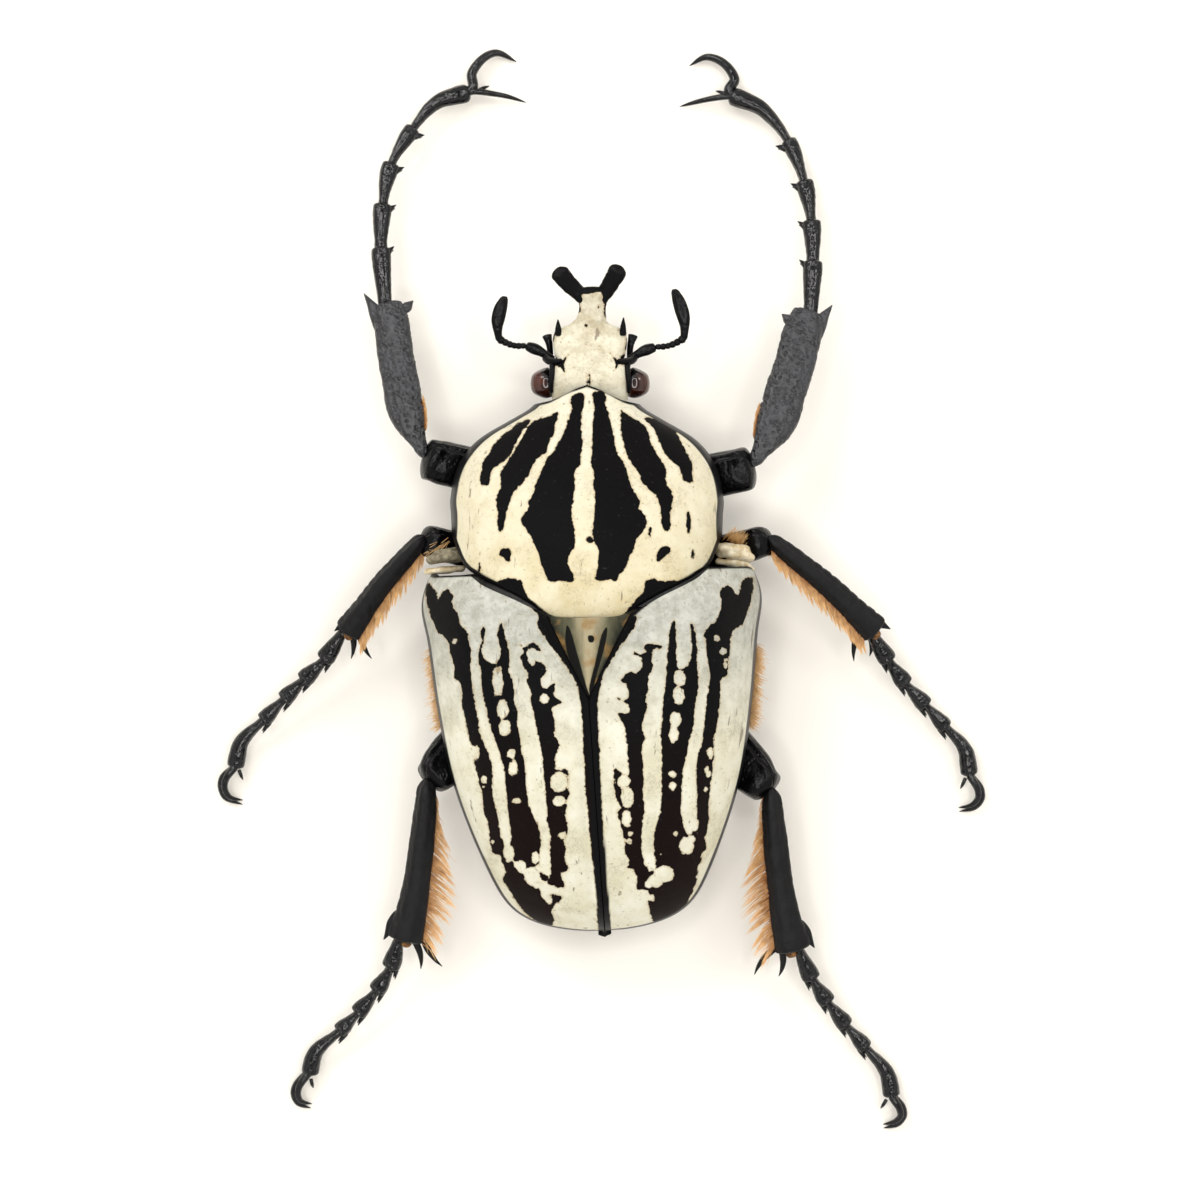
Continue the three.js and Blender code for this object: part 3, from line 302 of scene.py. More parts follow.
RIGHT_CASE_SPOTS = [
    (500, 430, 10, 11), (523, 478, 14, 14), (531, 510, 5, 6), (530, 530, 8, 12), (475, 850, 13, 20),
    (463, 907, 10, 11),
    (467, 928, 10, 13), (459, 981, 6, 8), (364, 577, 21, 30), (360, 641, 21, 31), (347, 728, 21, 30),
    (342, 780, 18, 30), (337, 927, 13, 12), (337, 971, 14, 17), (305, 1292, 38, 31), (275, 1316, 28, 24),
    (250, 1330, 14, 14), (230, 1357, 11, 10), (262, 1376, 9, 9), (294, 1219, 4, 5), (348, 1142, 10, 9),
    (388, 1188, 27, 31), (405, 1165, 14, 14), (428, 1303, 6, 6), (209, 447, 7, 12), (160, 955, 24, 24),
    (172, 1012, 24, 38), (170, 1090, 18, 31), (184, 1146, 9, 10), (180, 1171, 11, 11), (172, 1232, 5, 5),
    (262, 1258, 12, 16), (380, 450, 24, 90),
]
SCUTELLUM_BLACK = [  # on the left wing case's plan
    [(573, 385), (586, 402), (605, 470), (625, 540), (646, 612), (660, 650), (630, 640), (603, 575), (580, 510),
     (566, 450), (568, 400)],
    [(715, 390), (720, 410), (706, 480), (682, 560), (662, 640), (655, 640), (652, 612), (668, 550), (684, 480),
     (698, 420)],
    [(500, 350), (515, 372), (520, 420), (545, 480), (590, 560), (640, 650), (655, 700), (600, 640), (480, 440)],
    [(810, 350), (795, 372), (782, 420), (755, 480), (712, 560), (668, 650), (655, 700), (710, 640), (830, 440)],
    [(648, 424), (662, 420), (672, 430), (668, 446), (652, 444)],
]
HEAD_BLACK = [
    [(200, 1120), (270, 1085), (330, 1120), (365, 1125), (422, 1062), (428, 1072), (378, 1150), (392, 1240),
     (375, 1250),
     (340, 1200), (250, 1190), (200, 1240)],
    [(1150, 1080), (1050, 1055), (1000, 1110), (965, 1112), (902, 1042), (912, 1065), (962, 1150), (948, 1228),
     (960, 1218), (1000, 1172), (1090, 1162), (1150, 1190)],
    [(655, 1255), (674, 1320), (680, 1370), (668, 1402), (650, 1452), (638, 1402), (628, 1370), (636, 1310)],
    [(260, 770), (290, 790), (285, 850), (268, 900), (240, 900)],
    [(1065, 840), (1080, 850), (1078, 900), (1060, 990), (1090, 1000), (1110, 850)],
    [(625, 715), (642, 735), (632, 768), (612, 755), (608, 730)],
    [(765, 510), (778, 528), (765, 545), (752, 528)],
    [(585, 298), (800, 288), (806, 350), (745, 352), (720, 372), (690, 366), (630, 385), (585, 380)],
    [(150, 0), (500, 60), (612, 300), (590, 385), (548, 410), (560, 500), (566, 580), (500, 560), (400, 460),
     (150, 320)],
    [(788, 292), (930, 0), (1160, 0), (1160, 320), (930, 470), (885, 660), (845, 640), (826, 540), (822, 430),
     (800, 380)],
]

# ---------------------------------------------------------------- small mathematics


def smooth(at, knots):
    """Values on a smooth line through (position, value, ...) knots, level beyond its ends."""
    table = np.asarray(knots, float)
    x, y = table[:, 0], table[:, 1:]
    before = np.maximum(np.arange(len(x)) - 1, 0)
    after = np.minimum(np.arange(len(x)) + 1, len(x) - 1)
    slope = (y[after] - y[before]) / (x[after] - x[before])[:, None]
    place = np.clip(np.asarray(at, float), x[0], x[-1])
    i = np.clip(np.searchsorted(x, place, side="right") - 1, 0, len(x) - 2)
    step = (x[i + 1] - x[i])[..., None]
    t = (place - x[i])[..., None] / step
    ends = y[i] * (1 + 2 * t) * (1 - t) ** 2 + y[i + 1] * t * t * (3 - 2 * t)
    value = ends + step * (slope[i] * t * (1 - t) ** 2 - slope[i + 1] * t * t * (1 - t))
    return value[..., 0] if y.shape[1] == 1 else value


def unit(vectors):
    return vectors / np.maximum(np.linalg.norm(vectors, axis=-1, keepdims=True), TINY)


def rough(place, size, seed=0):
    """Smooth noise from -1 to 1 with lumps of about size millimetres."""
    p = place / size + seed * 17.31
    cell = np.floor(p)
    f = p - cell
    f = f * f * (3 - 2 * f)
    total = np.zeros(len(p))
    for corner in np.ndindex(2, 2, 2):
        mix = np.prod(np.where(corner, f, 1 - f), axis=1)
        hashed = np.sin((cell + corner) @ (127.1, 311.7, 74.7)) * 43758.5453
        total += mix * (hashed - np.floor(hashed))
    return total * 2 - 1


def bell(value, width):
    """1 where the value is nothing, falling away smoothly to both sides."""
    return np.exp(-((value / width) ** 2))


def bend(value, power=SQUARE):
    return np.sign(value) * np.abs(value) ** (2 / power)


def section_x(share):
    return bend(np.sin(share * math.pi / 2))


def section_z(share):
    return np.abs(np.cos(share * math.pi / 2)) ** (2 / SQUARE)


def on_plan(place, plan):
    """Where points of the beetle stand on a plan."""
    scale = SHEET_MM * (1 - place[:, 2] / EYE_HEIGHT)
    x = SHEET_MIDDLE + (place[:, 0] - VIEW_X) / scale
    y = SHEET_MIDDLE - place[:, 1] / scale
    return np.c_[(x - plan[0]) * plan[2], (y - plan[1]) * plan[2]]


def depth_inside(points, outline):
    """How far plan points lie inside a closed, rounded outline; negative outside it."""
    knots = np.asarray(outline, float)
    turn = np.vstack([knots[-2:], knots, knots[:2]])
    fine = smooth(np.arange(2, len(knots) + 2, 1 / 3), np.c_[np.arange(len(turn)), turn])
    best = np.full(len(points), np.inf)
    inside = np.zeros(len(points), bool)
    for a, b in zip(fine, np.roll(fine, -1, axis=0)):
        edge = b - a
        along = np.clip(((points - a) @ edge) / max(edge @ edge, TINY), 0, 1)
        best = np.minimum(best, np.linalg.norm(points - a - along[:, None] * edge, axis=1))
        if a[1] != b[1]:
            crosses = (a[1] > points[:, 1]) != (b[1] > points[:, 1])
            inside ^= crosses & (points[:, 0] < a[0] + (points[:, 1] - a[1]) * edge[0] / edge[1])
    return np.where(inside, best, -best)


def black_depth(place, plan, outlines, spots=()):
    """Depth inside the black, in millimetres: a union of outlines less the pale spots."""
    points = on_plan(place, plan)
    depth = np.max([depth_inside(points, outline) for outline in outlines], axis=0)
    for x, y, wide, high in spots:
        out = (np.hypot((points[:, 0] - x) / wide, (points[:, 1] - y) / high) - 1) * min(wide, high)
        depth = np.minimum(depth, out)
    return depth * SHEET_MM * BACK_SCALE / plan[2]


# ---------------------------------------------------------------- making pieces


def sheet(name, columns, rows, rule):
    """A grid of quads shaped by rule(u, v), in millimetres; edges that meet are merged."""
    bpy.ops.object.select_all(action="DESELECT")
    bpy.ops.mesh.primitive_grid_add(x_subdivisions=columns, y_subdivisions=rows, size=1)
    piece = bpy.context.object
    piece.name = piece.data.name = name
    flat = np.empty(len(piece.data.vertices) * 3)
    piece.data.vertices.foreach_get("co", flat)
    flat = flat.reshape(-1, 3)
    place = rule(flat[:, 0] + 0.5, flat[:, 1] + 0.5)
    piece.data.vertices.foreach_set("co", (place * MM).ravel())
    piece.data.update()
    bpy.ops.object.mode_set(mode="EDIT")
    bpy.ops.mesh.select_all(action="SELECT")
    bpy.ops.mesh.remove_doubles(threshold=MERGE)
    bpy.ops.mesh.normals_make_consistent(inside=False)
    bpy.ops.object.mode_set(mode="OBJECT")
    return piece


def limb(name, path, girth, sides=28, rings=40, up=UP, detail=None, power=2, ends=(0.06, 0.06)):
    """A closed rounded limb along a path; girth holds (share, half-width, half-height) knots."""
    path = np.asarray(path, float)
    lengths = np.r_[0, np.cumsum(np.linalg.norm(np.diff(path, axis=0), axis=1))]
    knots = np.c_[lengths / lengths[-1], path]

    def rule(u, v):
        t = (1 - np.cos(np.pi * v)) / 2
        here = smooth(t, knots)
        along = unit(smooth(np.minimum(t + 0.01, 1), knots) - smooth(np.maximum(t - 0.01, 0), knots))
        across = unit(np.cross(along, up))
        rise = np.cross(across, along)
        first = np.clip(t / ends[0], 0, 1)
        last = np.clip((1 - t) / ends[1], 0, 1)
        cap = np.sqrt(np.maximum(0, (1 - (1 - first) ** 2) * (1 - (1 - last) ** 2)))
        wide, high = (smooth(t, girth) * cap[:, None]).T
        angle = 2 * np.pi * u
        c, s = bend(np.cos(angle), power), bend(np.sin(angle), power)
        place = here + across * (wide * c)[:, None] + rise * (high * s)[:, None]
        if detail is not None:
            place = detail(place, unit(across * c[:, None] + rise * s[:, None]), t, angle)
        return place

    return sheet(name, sides, rings, rule)


def stay_above(floor):
    """A limb's detail that keeps it from sinking below a height."""
    return lambda place, normal, t, angle: np.c_[place[:, :2], np.maximum(place[:, 2], floor)]


def barrel(name, start, stop, rings, sides, wide, top, edge, keel, detail=None, power=SQUARE):
    """A closed body length along Y, arched above its edge height and keeled below it."""

    def rule(u, v):
        y = start + (stop - start) * (1 - np.cos(np.pi * v)) / 2
        near = np.minimum(np.abs(y - start), np.abs(stop - y))
        cap = np.sqrt(np.maximum(0, 1 - (1 - np.clip(near / END_CAP, 0, 1)) ** 2))
        angle = 2 * np.pi * u
        c, s = bend(np.cos(angle), power), bend(np.sin(angle), power)
        middle = edge(y)
        rise = np.where(s > 0, top(y) - middle, middle - keel(y)) * cap
        place = np.c_[c * wide(y) * cap, y, middle + s * rise]
        return place if detail is None else detail(place, y, angle)

    return sheet(name, sides, rings, rule)


def apply(piece, kind, **settings):
    """Adds a modifier and applies it."""
    bpy.ops.object.select_all(action="DESELECT")
    bpy.context.view_layer.objects.active = piece
    piece.select_set(True)
    modifier = piece.modifiers.new(kind.title(), kind)
    for key, value in settings.items():
        setattr(modifier, key, value)
    bpy.ops.object.modifier_apply(modifier=modifier.name)


def join(name, pieces):
    """Several meshes as one piece."""
    bpy.ops.object.select_all(action="DESELECT")
    for piece in pieces:
        piece.select_set(True)
    bpy.context.view_layer.objects.active = pieces[0]
    if len(pieces) > 1:
        bpy.ops.object.join()
    pieces[0].name = pieces[0].data.name = name
    return pieces[0]


def face_up(piece, upward=True):
    """Turns an open sheet so that its faces look up, or down."""
    normals = np.empty(len(piece.data.polygons) * 3)
    piece.data.polygons.foreach_get("normal", normals)
    if (normals.reshape(-1, 3)[:, 2].sum() > 0) != upward:
        piece.data.flip_normals()


def corners(piece):
    flat = np.empty(len(piece.data.vertices) * 3)
    piece.data.vertices.foreach_get("co", flat)
    return flat.reshape(-1, 3) / MM


def store(piece, name, values):
    """Keeps a number for each corner of a piece, or one for all, for its material to read."""
    numbers = np.zeros(len(piece.data.vertices), np.float32)
    numbers[:] = values
    piece.data.attributes.new(name, "FLOAT", "POINT").data.foreach_set("value", numbers)


def dress(piece, key, slot, *nodes):
    """Smooths a finished piece, gives it the finish of that name, and ties it to the frame."""
    bpy.ops.object.select_all(action="DESELECT")
    bpy.context.view_layer.objects.active = piece
    piece.select_set(True)
    bpy.ops.object.shade_smooth_by_angle(angle=CREASE)
    piece.data.materials.clear()
    piece.data.materials.append(finish(key))
    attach(piece, BODY)
    if nodes:
        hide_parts(*nodes)


# ---------------------------------------------------------------- materials


def linear(code, alpha=True):
    """An sRGB hex colour as linear numbers."""
    parts = [int(code[i : i + 2], 16) / 255 for i in (1, 3, 5)]
    parts = [p / 12.92 if p <= 0.04045 else ((p + 0.055) / 1.055) ** 2.4 for p in parts]
    return (*parts, 1.0) if alpha else tuple(parts)


def add(tree, kind, inputs=None, **settings):
    """Adds a node with its settings, sets its sockets, and links those given another's output."""
    made = tree.nodes.new(kind)
    for key, value in settings.items():
        setattr(made, key, value)
    for key, value in (inputs or {}).items():
        if isinstance(value, bpy.types.NodeSocket):
            tree.links.new(value, made.inputs[key])
        else:
            made.inputs[key].default_value = value
    return made


def begin(name, **values):
    """A new material with its shader, and the object coordinates it reads."""
    material = bpy.data.materials.new(name)
    material.use_nodes = True
    tree = material.node_tree
    tree.nodes.clear()
    shader = add(tree, "ShaderNodeBsdfPrincipled", values)
    add(tree, "ShaderNodeOutputMaterial", {"Surface": shader.outputs[0]})
    coords = add(tree, "ShaderNodeTexCoord").outputs["Object"]
    return material, tree, shader, coords


def scaled_cuticle(name, pale, second, grey, grey_from, grey_to, black, maroon, mirror):
    """Horn plate with a felt of pale scales, and bare velvety black where the felt is missing."""
    material, tree, shader, coords = begin(name, **{"IOR": 1.5, "Specular IOR Level": mirror})
    height = add(tree, "ShaderNodeSeparateXYZ", {0: coords}).outputs["Y"]
    mark = add(tree, "ShaderNodeAttribute", attribute_name="marking").outputs["Fac"]
    rim = add(tree, "ShaderNodeAttribute", attribute_name="rim").outputs["Fac"]
    # the felt ends in a ragged edge, with scallops of about 0.5 mm
    ragged = add(tree, "ShaderNodeTexNoise", {"Vector": coords, "Scale": 1600, "Detail": 4, "Roughness": 0.65})
    wander = add(tree, "ShaderNodeMath", {0: ragged.outputs["Fac"], 1: 0.7, 2: -0.35}, operation="MULTIPLY_ADD")
    edge = add(tree, "ShaderNodeMath", {0: mark, 1: wander.outputs[0]}, operation="ADD").outputs[0]
    bare = add(tree, "ShaderNodeMapRange", {0: edge, 1: -0.03, 2: 0.03}).outputs[0]
    # clouds of 4 mm in the felt's colour, and the cooler grey of the shoulders
    clouds = add(tree, "ShaderNodeTexNoise", {"Vector": coords, "Scale": 230, "Detail": 5, "Roughness": 0.6})
    cloudy = add(tree, "ShaderNodeMapRange", {0: clouds.outputs["Fac"], 1: 0.38, 2: 0.64})
    felt = add(tree, "ShaderNodeMix", {0: cloudy.outputs[0], 6: linear(pale), 7: linear(second)}, data_type="RGBA")
    # mottling of 1.5 mm inside the clouds
    mottle = add(tree, "ShaderNodeTexNoise", {"Vector": coords, "Scale": 650, "Detail": 6, "Roughness": 0.72})
    thin = add(tree, "ShaderNodeMapRange", {0: mottle.outputs["Fac"], 1: 0.5, 2: 0.7, 4: 0.5})
    felt = add(tree, "ShaderNodeMix", {0: thin.outputs[0], 6: felt.outputs[2], 7: linear(second)}, data_type="RGBA")
    drift = add(tree, "ShaderNodeMath", {0: clouds.outputs["Fac"], 1: 0.016, 2: height}, operation="MULTIPLY_ADD")
    greyer = add(tree, "ShaderNodeMapRange", {0: drift.outputs[0], 1: grey_from, 2: grey_to, 4: 0.9})
    ashen = add(tree, "ShaderNodeMapRange", {0: mottle.outputs["Fac"], 1: 0.36, 2: 0.62})
    ash = add(tree, "ShaderNodeMix", {0: ashen.outputs[0], 6: linear(grey[0]), 7: linear(grey[1])}, data_type="RGBA")
    felt = add(tree, "ShaderNodeMix", {0: greyer.outputs[0], 6: felt.outputs[2], 7: ash.outputs[2]}, data_type="RGBA")
    # hair cracks round plates of 4 mm, where the dried felt has split
    warped = add(tree, "ShaderNodeMix", {0: 0.012, 4: coords, 5: mottle.outputs["Color"]}, data_type="VECTOR")
    plates = add(tree, "ShaderNodeTexVoronoi", {"Vector": warped.outputs[1], "Scale": 240},
                 feature="DISTANCE_TO_EDGE")
    split = add(tree, "ShaderNodeMapRange", {0: plates.outputs["Distance"], 1: 0.008, 2: 0.022, 3: 0.6, 4: 0})
    patchy = add(tree, "ShaderNodeMapRange", {0: clouds.outputs["Fac"], 1: 0.5, 2: 0.56})
    split = add(tree, "ShaderNodeMath", {0: split.outputs[0], 1: patchy.outputs[0]}, operation="MULTIPLY")
    felt = add(tree, "ShaderNodeMix", {0: split.outputs[0], 6: felt.outputs[2], 7: linear("#6A6458")},
               data_type="RGBA")
    # rubbed specks of 0.4 mm, and hair cracks that run along the body
    specks = add(tree, "ShaderNodeTexNoise", {"Vector": coords, "Scale": 2600, "Detail": 2, "Roughness": 0.7})
    worn = add(tree, "ShaderNodeMapRange", {0: specks.outputs["Fac"], 1: 0.645, 2: 0.72, 4: 0.6})
    felt = add(tree, "ShaderNodeMix", {0: worn.outputs[0], 6: felt.outputs[2], 7: linear("#8A7458")},
               data_type="RGBA")
    drawn = add(tree, "ShaderNodeMapping", {"Vector": coords, "Scale": (900, 170, 900)})
    crack = add(tree, "ShaderNodeTexNoise", {"Vector": drawn.outputs[0], "Scale": 1, "Detail": 3, "Roughness": 0.6})
    line = add(tree, "ShaderNodeMapRange", {0: crack.outputs["Fac"], 1: 0.655, 2: 0.70, 4: 0.7})
    felt = add(tree, "ShaderNodeMix", {0: line.outputs[0], 6: felt.outputs[2], 7: linear("#6E5F4C")},
               data_type="RGBA")
    # a stained brim where the felt thins out beside the black
    brim = add(tree, "ShaderNodeMapRange", {0: edge, 1: -0.2, 2: -0.02, 4: 0.5})
    felt = add(tree, "ShaderNodeMix", {0: brim.outputs[0], 6: felt.outputs[2], 7: linear("#B39A6E")},
               data_type="RGBA")
    # the bare horn, browner to the rear and scuffed
    browner = add(tree, "ShaderNodeMapRange", {0: height, 1: -0.012, 2: -0.026})
    horn = add(tree, "ShaderNodeMix", {0: browner.outputs[0], 6: linear(black), 7: linear(maroon)}, data_type="RGBA")
    scuff = add(tree, "ShaderNodeMapRange", {0: specks.outputs["Fac"], 1: 0.66, 2: 0.8, 4: 0.2})
    horn = add(tree, "ShaderNodeMix", {0: scuff.outputs[0], 6: horn.outputs[2], 7: linear("#6B6A70")},
               data_type="RGBA")
    skin = add(tree, "ShaderNodeMix", {0: bare, 6: felt.outputs[2], 7: horn.outputs[2]}, data_type="RGBA")
    # the rim attribute blackens the real beads, seam lips and outlines; on the wing cases it also carries a painted
    # shadow along their front edge behind the shield
    skin = add(tree, "ShaderNodeMix", {0: rim, 6: skin.outputs[2], 7: linear("#0B0B0D")}, data_type="RGBA")
    tree.links.new(skin.outputs[2], shader.inputs["Base Color"])
    gloss = add(tree, "ShaderNodeMapRange", {0: bare, 3: 0.5, 4: 0.58})
    gloss = add(tree, "ShaderNodeMapRange", {0: rim, 3: gloss.outputs[0], 4: 0.34})
    tree.links.new(gloss.outputs[0], shader.inputs["Roughness"])
    # the felt stands a hair's breadth above the horn, and both have a grain of 0.25 mm
    grain = add(tree, "ShaderNodeTexNoise", {"Vector": coords, "Scale": 4200, "Detail": 2})
    lift = add(tree, "ShaderNodeMath", {0: bare, 1: -0.5, 2: grain.outputs["Fac"]}, operation="MULTIPLY_ADD")
    lift = add(tree, "ShaderNodeMath", {0: line.outputs[0], 1: -0.8, 2: lift.outputs[0]}, operation="MULTIPLY_ADD")
    relief = add(tree, "ShaderNodeBump", {"Height": lift.outputs[0], "Distance": 0.00005, "Strength": 0.5})
    tree.links.new(relief.outputs[0], shader.inputs["Normal"])
    return material


def black_horn(name, dark, light, pit, depth, rough_low, rough_high, mirror):
    """Bare black horn; pits of a stated size and depth, in millimetres, make it polished or rugged."""
    material, tree, shader, coords = begin(name, **{"IOR": 1.52, "Specular IOR Level": mirror})
    cells = add(tree, "ShaderNodeTexVoronoi", {"Vector": coords, "Scale": 1 / (pit * MM)})
    cup = add(tree, "ShaderNodeMapRange", {0: cells.outputs["Distance"], 1: 0.1, 2: 0.5})
    clouds = add(tree, "ShaderNodeTexNoise", {"Vector": coords, "Scale": 700, "Detail": 4, "Roughness": 0.6})
    patch = add(tree, "ShaderNodeMapRange", {0: clouds.outputs["Fac"], 1: 0.42, 2: 0.66})
    shade = add(tree, "ShaderNodeMix", {0: patch.outputs[0], 6: linear(dark), 7: linear(light)}, data_type="RGBA")
    tree.links.new(shade.outputs[2], shader.inputs["Base Color"])
    gloss = add(tree, "ShaderNodeMapRange", {0: clouds.outputs["Fac"], 1: 0.3, 2: 0.7, 3: rough_low, 4: rough_high})
    tree.links.new(gloss.outputs[0], shader.inputs["Roughness"])
    relief = add(tree, "ShaderNodeBump", {"Height": cup.outputs[0], "Distance": depth * MM, "Strength": 0.8})
    fine = add(tree, "ShaderNodeTexNoise", {"Vector": coords, "Scale": 5000, "Detail": 2})
    relief = add(tree, "ShaderNodeBump", {"Height": fine.outputs["Fac"], "Normal": relief.outputs[0],
                                          "Distance": 0.00002, "Strength": 0.5})
    tree.links.new(relief.outputs[0], shader.inputs["Normal"])
    return material


def eye_lens():
    """Faceted eye under a clear cornea: glossy red-brown, darker at its inner side."""
    material, tree, shader, coords = begin("compound_eye_cornea",
                                           **{"Roughness": 0.25, "IOR": 1.45, "Specular IOR Level": 0.2,
                                              "Coat Weight": 0.9, "Coat Roughness": 0.04})
    # the facets are drawn 0.1 mm wide, since the real ones are too fine to show
    facets = add(tree, "ShaderNodeTexVoronoi", {"Vector": coords, "Scale": 9000})
    tint = add(tree, "ShaderNodeTexNoise", {"Vector": coords, "Scale": 600, "Detail": 3})
    shade = add(tree, "ShaderNodeMapRange", {0: tint.outputs["Fac"], 1: 0.35, 2: 0.65})
    colour = add(tree, "ShaderNodeMix", {0: shade.outputs[0], 6: linear("#1C0906"), 7: linear("#4A2010")},
                 data_type="RGBA")
    inner = add(tree, "ShaderNodeAttribute", attribute_name="marking").outputs["Fac"]
    colour = add(tree, "ShaderNodeMix", {0: inner, 6: colour.outputs[2], 7: linear("#080607")}, data_type="RGBA")
    tree.links.new(colour.outputs[2], shader.inputs["Base Color"])
    relief = add(tree, "ShaderNodeBump", {"Height": facets.outputs["Distance"], "Distance": 0.00001, "Strength": 0.4})
    tree.links.new(relief.outputs[0], shader.inputs["Normal"])
    return material


def hair(name, root, tip):
    """Stiff translucent setae: shaded from a dark root to a bright tip by an attribute."""
    material, tree, shader, coords = begin(name, **{"Roughness": 0.5, "IOR": 1.55})
    along = add(tree, "ShaderNodeAttribute", attribute_name="along").outputs["Fac"]
    tone = add(tree, "ShaderNodeTexNoise", {"Vector": coords, "Scale": 1200, "Detail": 2})
    shift = add(tree, "ShaderNodeMath", {0: tone.outputs["Fac"], 1: 0.8, 2: along}, operation="MULTIPLY_ADD")
    mix = add(tree, "ShaderNodeMapRange", {0: shift.outputs[0], 1: 0.3, 2: 1.2})
    colour = add(tree, "ShaderNodeMix", {0: mix.outputs[0], 6: linear(root), 7: linear(tip)}, data_type="RGBA")
    tree.links.new(colour.outputs[2], shader.inputs["Base Color"])
    return material


def felted_plate():
    """Side plate with a thin tan felt over brown horn; its hind lip is bare and golden."""
    material, tree, shader, coords = begin("tan_felted_plate",
                                           **{"Roughness": 0.6, "IOR": 1.5, "Specular IOR Level": 0.25})
    clouds = add(tree, "ShaderNodeTexNoise", {"Vector": coords, "Scale": 900, "Detail": 5, "Roughness": 0.7})
    ramp = add(tree, "ShaderNodeMapRange", {0: clouds.outputs["Fac"], 1: 0.34, 2: 0.66})
    colour = add(tree, "ShaderNodeMix", {0: ramp.outputs[0], 6: linear("#1E1912"), 7: linear("#A0977C")},
                 data_type="RGBA")
    lip = add(tree, "ShaderNodeMix", {0: ramp.outputs[0], 6: linear("#B8A070"), 7: linear("#ECE4CC")},
              data_type="RGBA")
    mark = add(tree, "ShaderNodeAttribute", attribute_name="marking").outputs["Fac"]
    colour = add(tree, "ShaderNodeMix", {0: mark, 6: colour.outputs[2], 7: lip.outputs[2]}, data_type="RGBA")
    tree.links.new(colour.outputs[2], shader.inputs["Base Color"])
    relief = add(tree, "ShaderNodeBump", {"Height": clouds.outputs["Fac"], "Distance": 0.0001, "Strength": 0.7})
    tree.links.new(relief.outputs[0], shader.inputs["Normal"])
    return material


def olive_plate():
    """Scutellum: cream scales along its middle that thin to olive horn, with black stripes."""
    material, tree, shader, coords = begin("olive_scutellum_cuticle",
                                           **{"Roughness": 0.6, "IOR": 1.5, "Specular IOR Level": 0.08})
    mark = add(tree, "ShaderNodeAttribute", attribute_name="marking").outputs["Fac"]
    off = add(tree, "ShaderNodeAttribute", attribute_name="rim").outputs["Fac"]
    streaks = add(tree, "ShaderNodeMapping", {"Vector": coords, "Scale": (1500, 350, 1500)})
    grain = add(tree, "ShaderNodeTexNoise", {"Vector": streaks.outputs[0], "Scale": 1, "Detail": 5,
                                             "Roughness": 0.65})
    wander = add(tree, "ShaderNodeMath", {0: grain.outputs["Fac"], 1: 0.5, 2: -0.25},
                 operation="MULTIPLY_ADD").outputs[0]
    share = add(tree, "ShaderNodeMath", {0: off, 1: wander}, operation="ADD").outputs[0]
    inner = add(tree, "ShaderNodeMapRange", {0: share, 1: 0.12, 2: 0.5})
    outer = add(tree, "ShaderNodeMapRange", {0: share, 1: 0.5, 2: 0.95})
    colour = add(tree, "ShaderNodeMix", {0: inner.outputs[0], 6: linear("#A2977A"), 7: linear("#5A5844")},
                 data_type="RGBA")
    colour = add(tree, "ShaderNodeMix", {0: outer.outputs[0], 6: colour.outputs[2], 7: linear("#1E2019")},
                 data_type="RGBA")
    stain = add(tree, "ShaderNodeTexNoise", {"Vector": coords, "Scale": 500, "Detail": 4})
    brown = add(tree, "ShaderNodeMapRange", {0: stain.outputs["Fac"], 1: 0.5, 2: 0.64, 4: 0.7})
    colour = add(tree, "ShaderNodeMix", {0: brown.outputs[0], 6: colour.outputs[2], 7: linear("#8A6A3C")},
                 data_type="RGBA")
    edge = add(tree, "ShaderNodeMath", {0: wander, 1: 0.4, 2: mark}, operation="MULTIPLY_ADD").outputs[0]
    bare = add(tree, "ShaderNodeMapRange", {0: edge, 1: -0.04, 2: 0.06})
    colour = add(tree, "ShaderNodeMix", {0: bare.outputs[0], 6: colour.outputs[2], 7: linear("#0D0D0B")},
                 data_type="RGBA")
    tree.links.new(colour.outputs[2], shader.inputs["Base Color"])
    relief = add(tree, "ShaderNodeBump", {"Height": grain.outputs["Fac"], "Distance": 0.00006, "Strength": 0.5})
    tree.links.new(relief.outputs[0], shader.inputs["Normal"])
    return material


def joint_skin():
    """Dried skin of a joint: brown, wrinkled and dull."""
    material, tree, shader, coords = begin("dried_joint_skin",
                                           **{"Roughness": 0.55, "IOR": 1.45, "Specular IOR Level": 0.3})
    folds = add(tree, "ShaderNodeTexNoise", {"Vector": coords, "Scale": 2000, "Detail": 4})
    ramp = add(tree, "ShaderNodeMapRange", {0: folds.outputs["Fac"], 1: 0.35, 2: 0.65})
    colour = add(tree, "ShaderNodeMix", {0: ramp.outputs[0], 6: linear("#3A2414"), 7: linear("#94683C")},
                 data_type="RGBA")
    tree.links.new(colour.outputs[2], shader.inputs["Base Color"])
    relief = add(tree, "ShaderNodeBump", {"Height": folds.outputs["Fac"], "Distance": 0.0001, "Strength": 0.8})
    tree.links.new(relief.outputs[0], shader.inputs["Normal"])
    return material


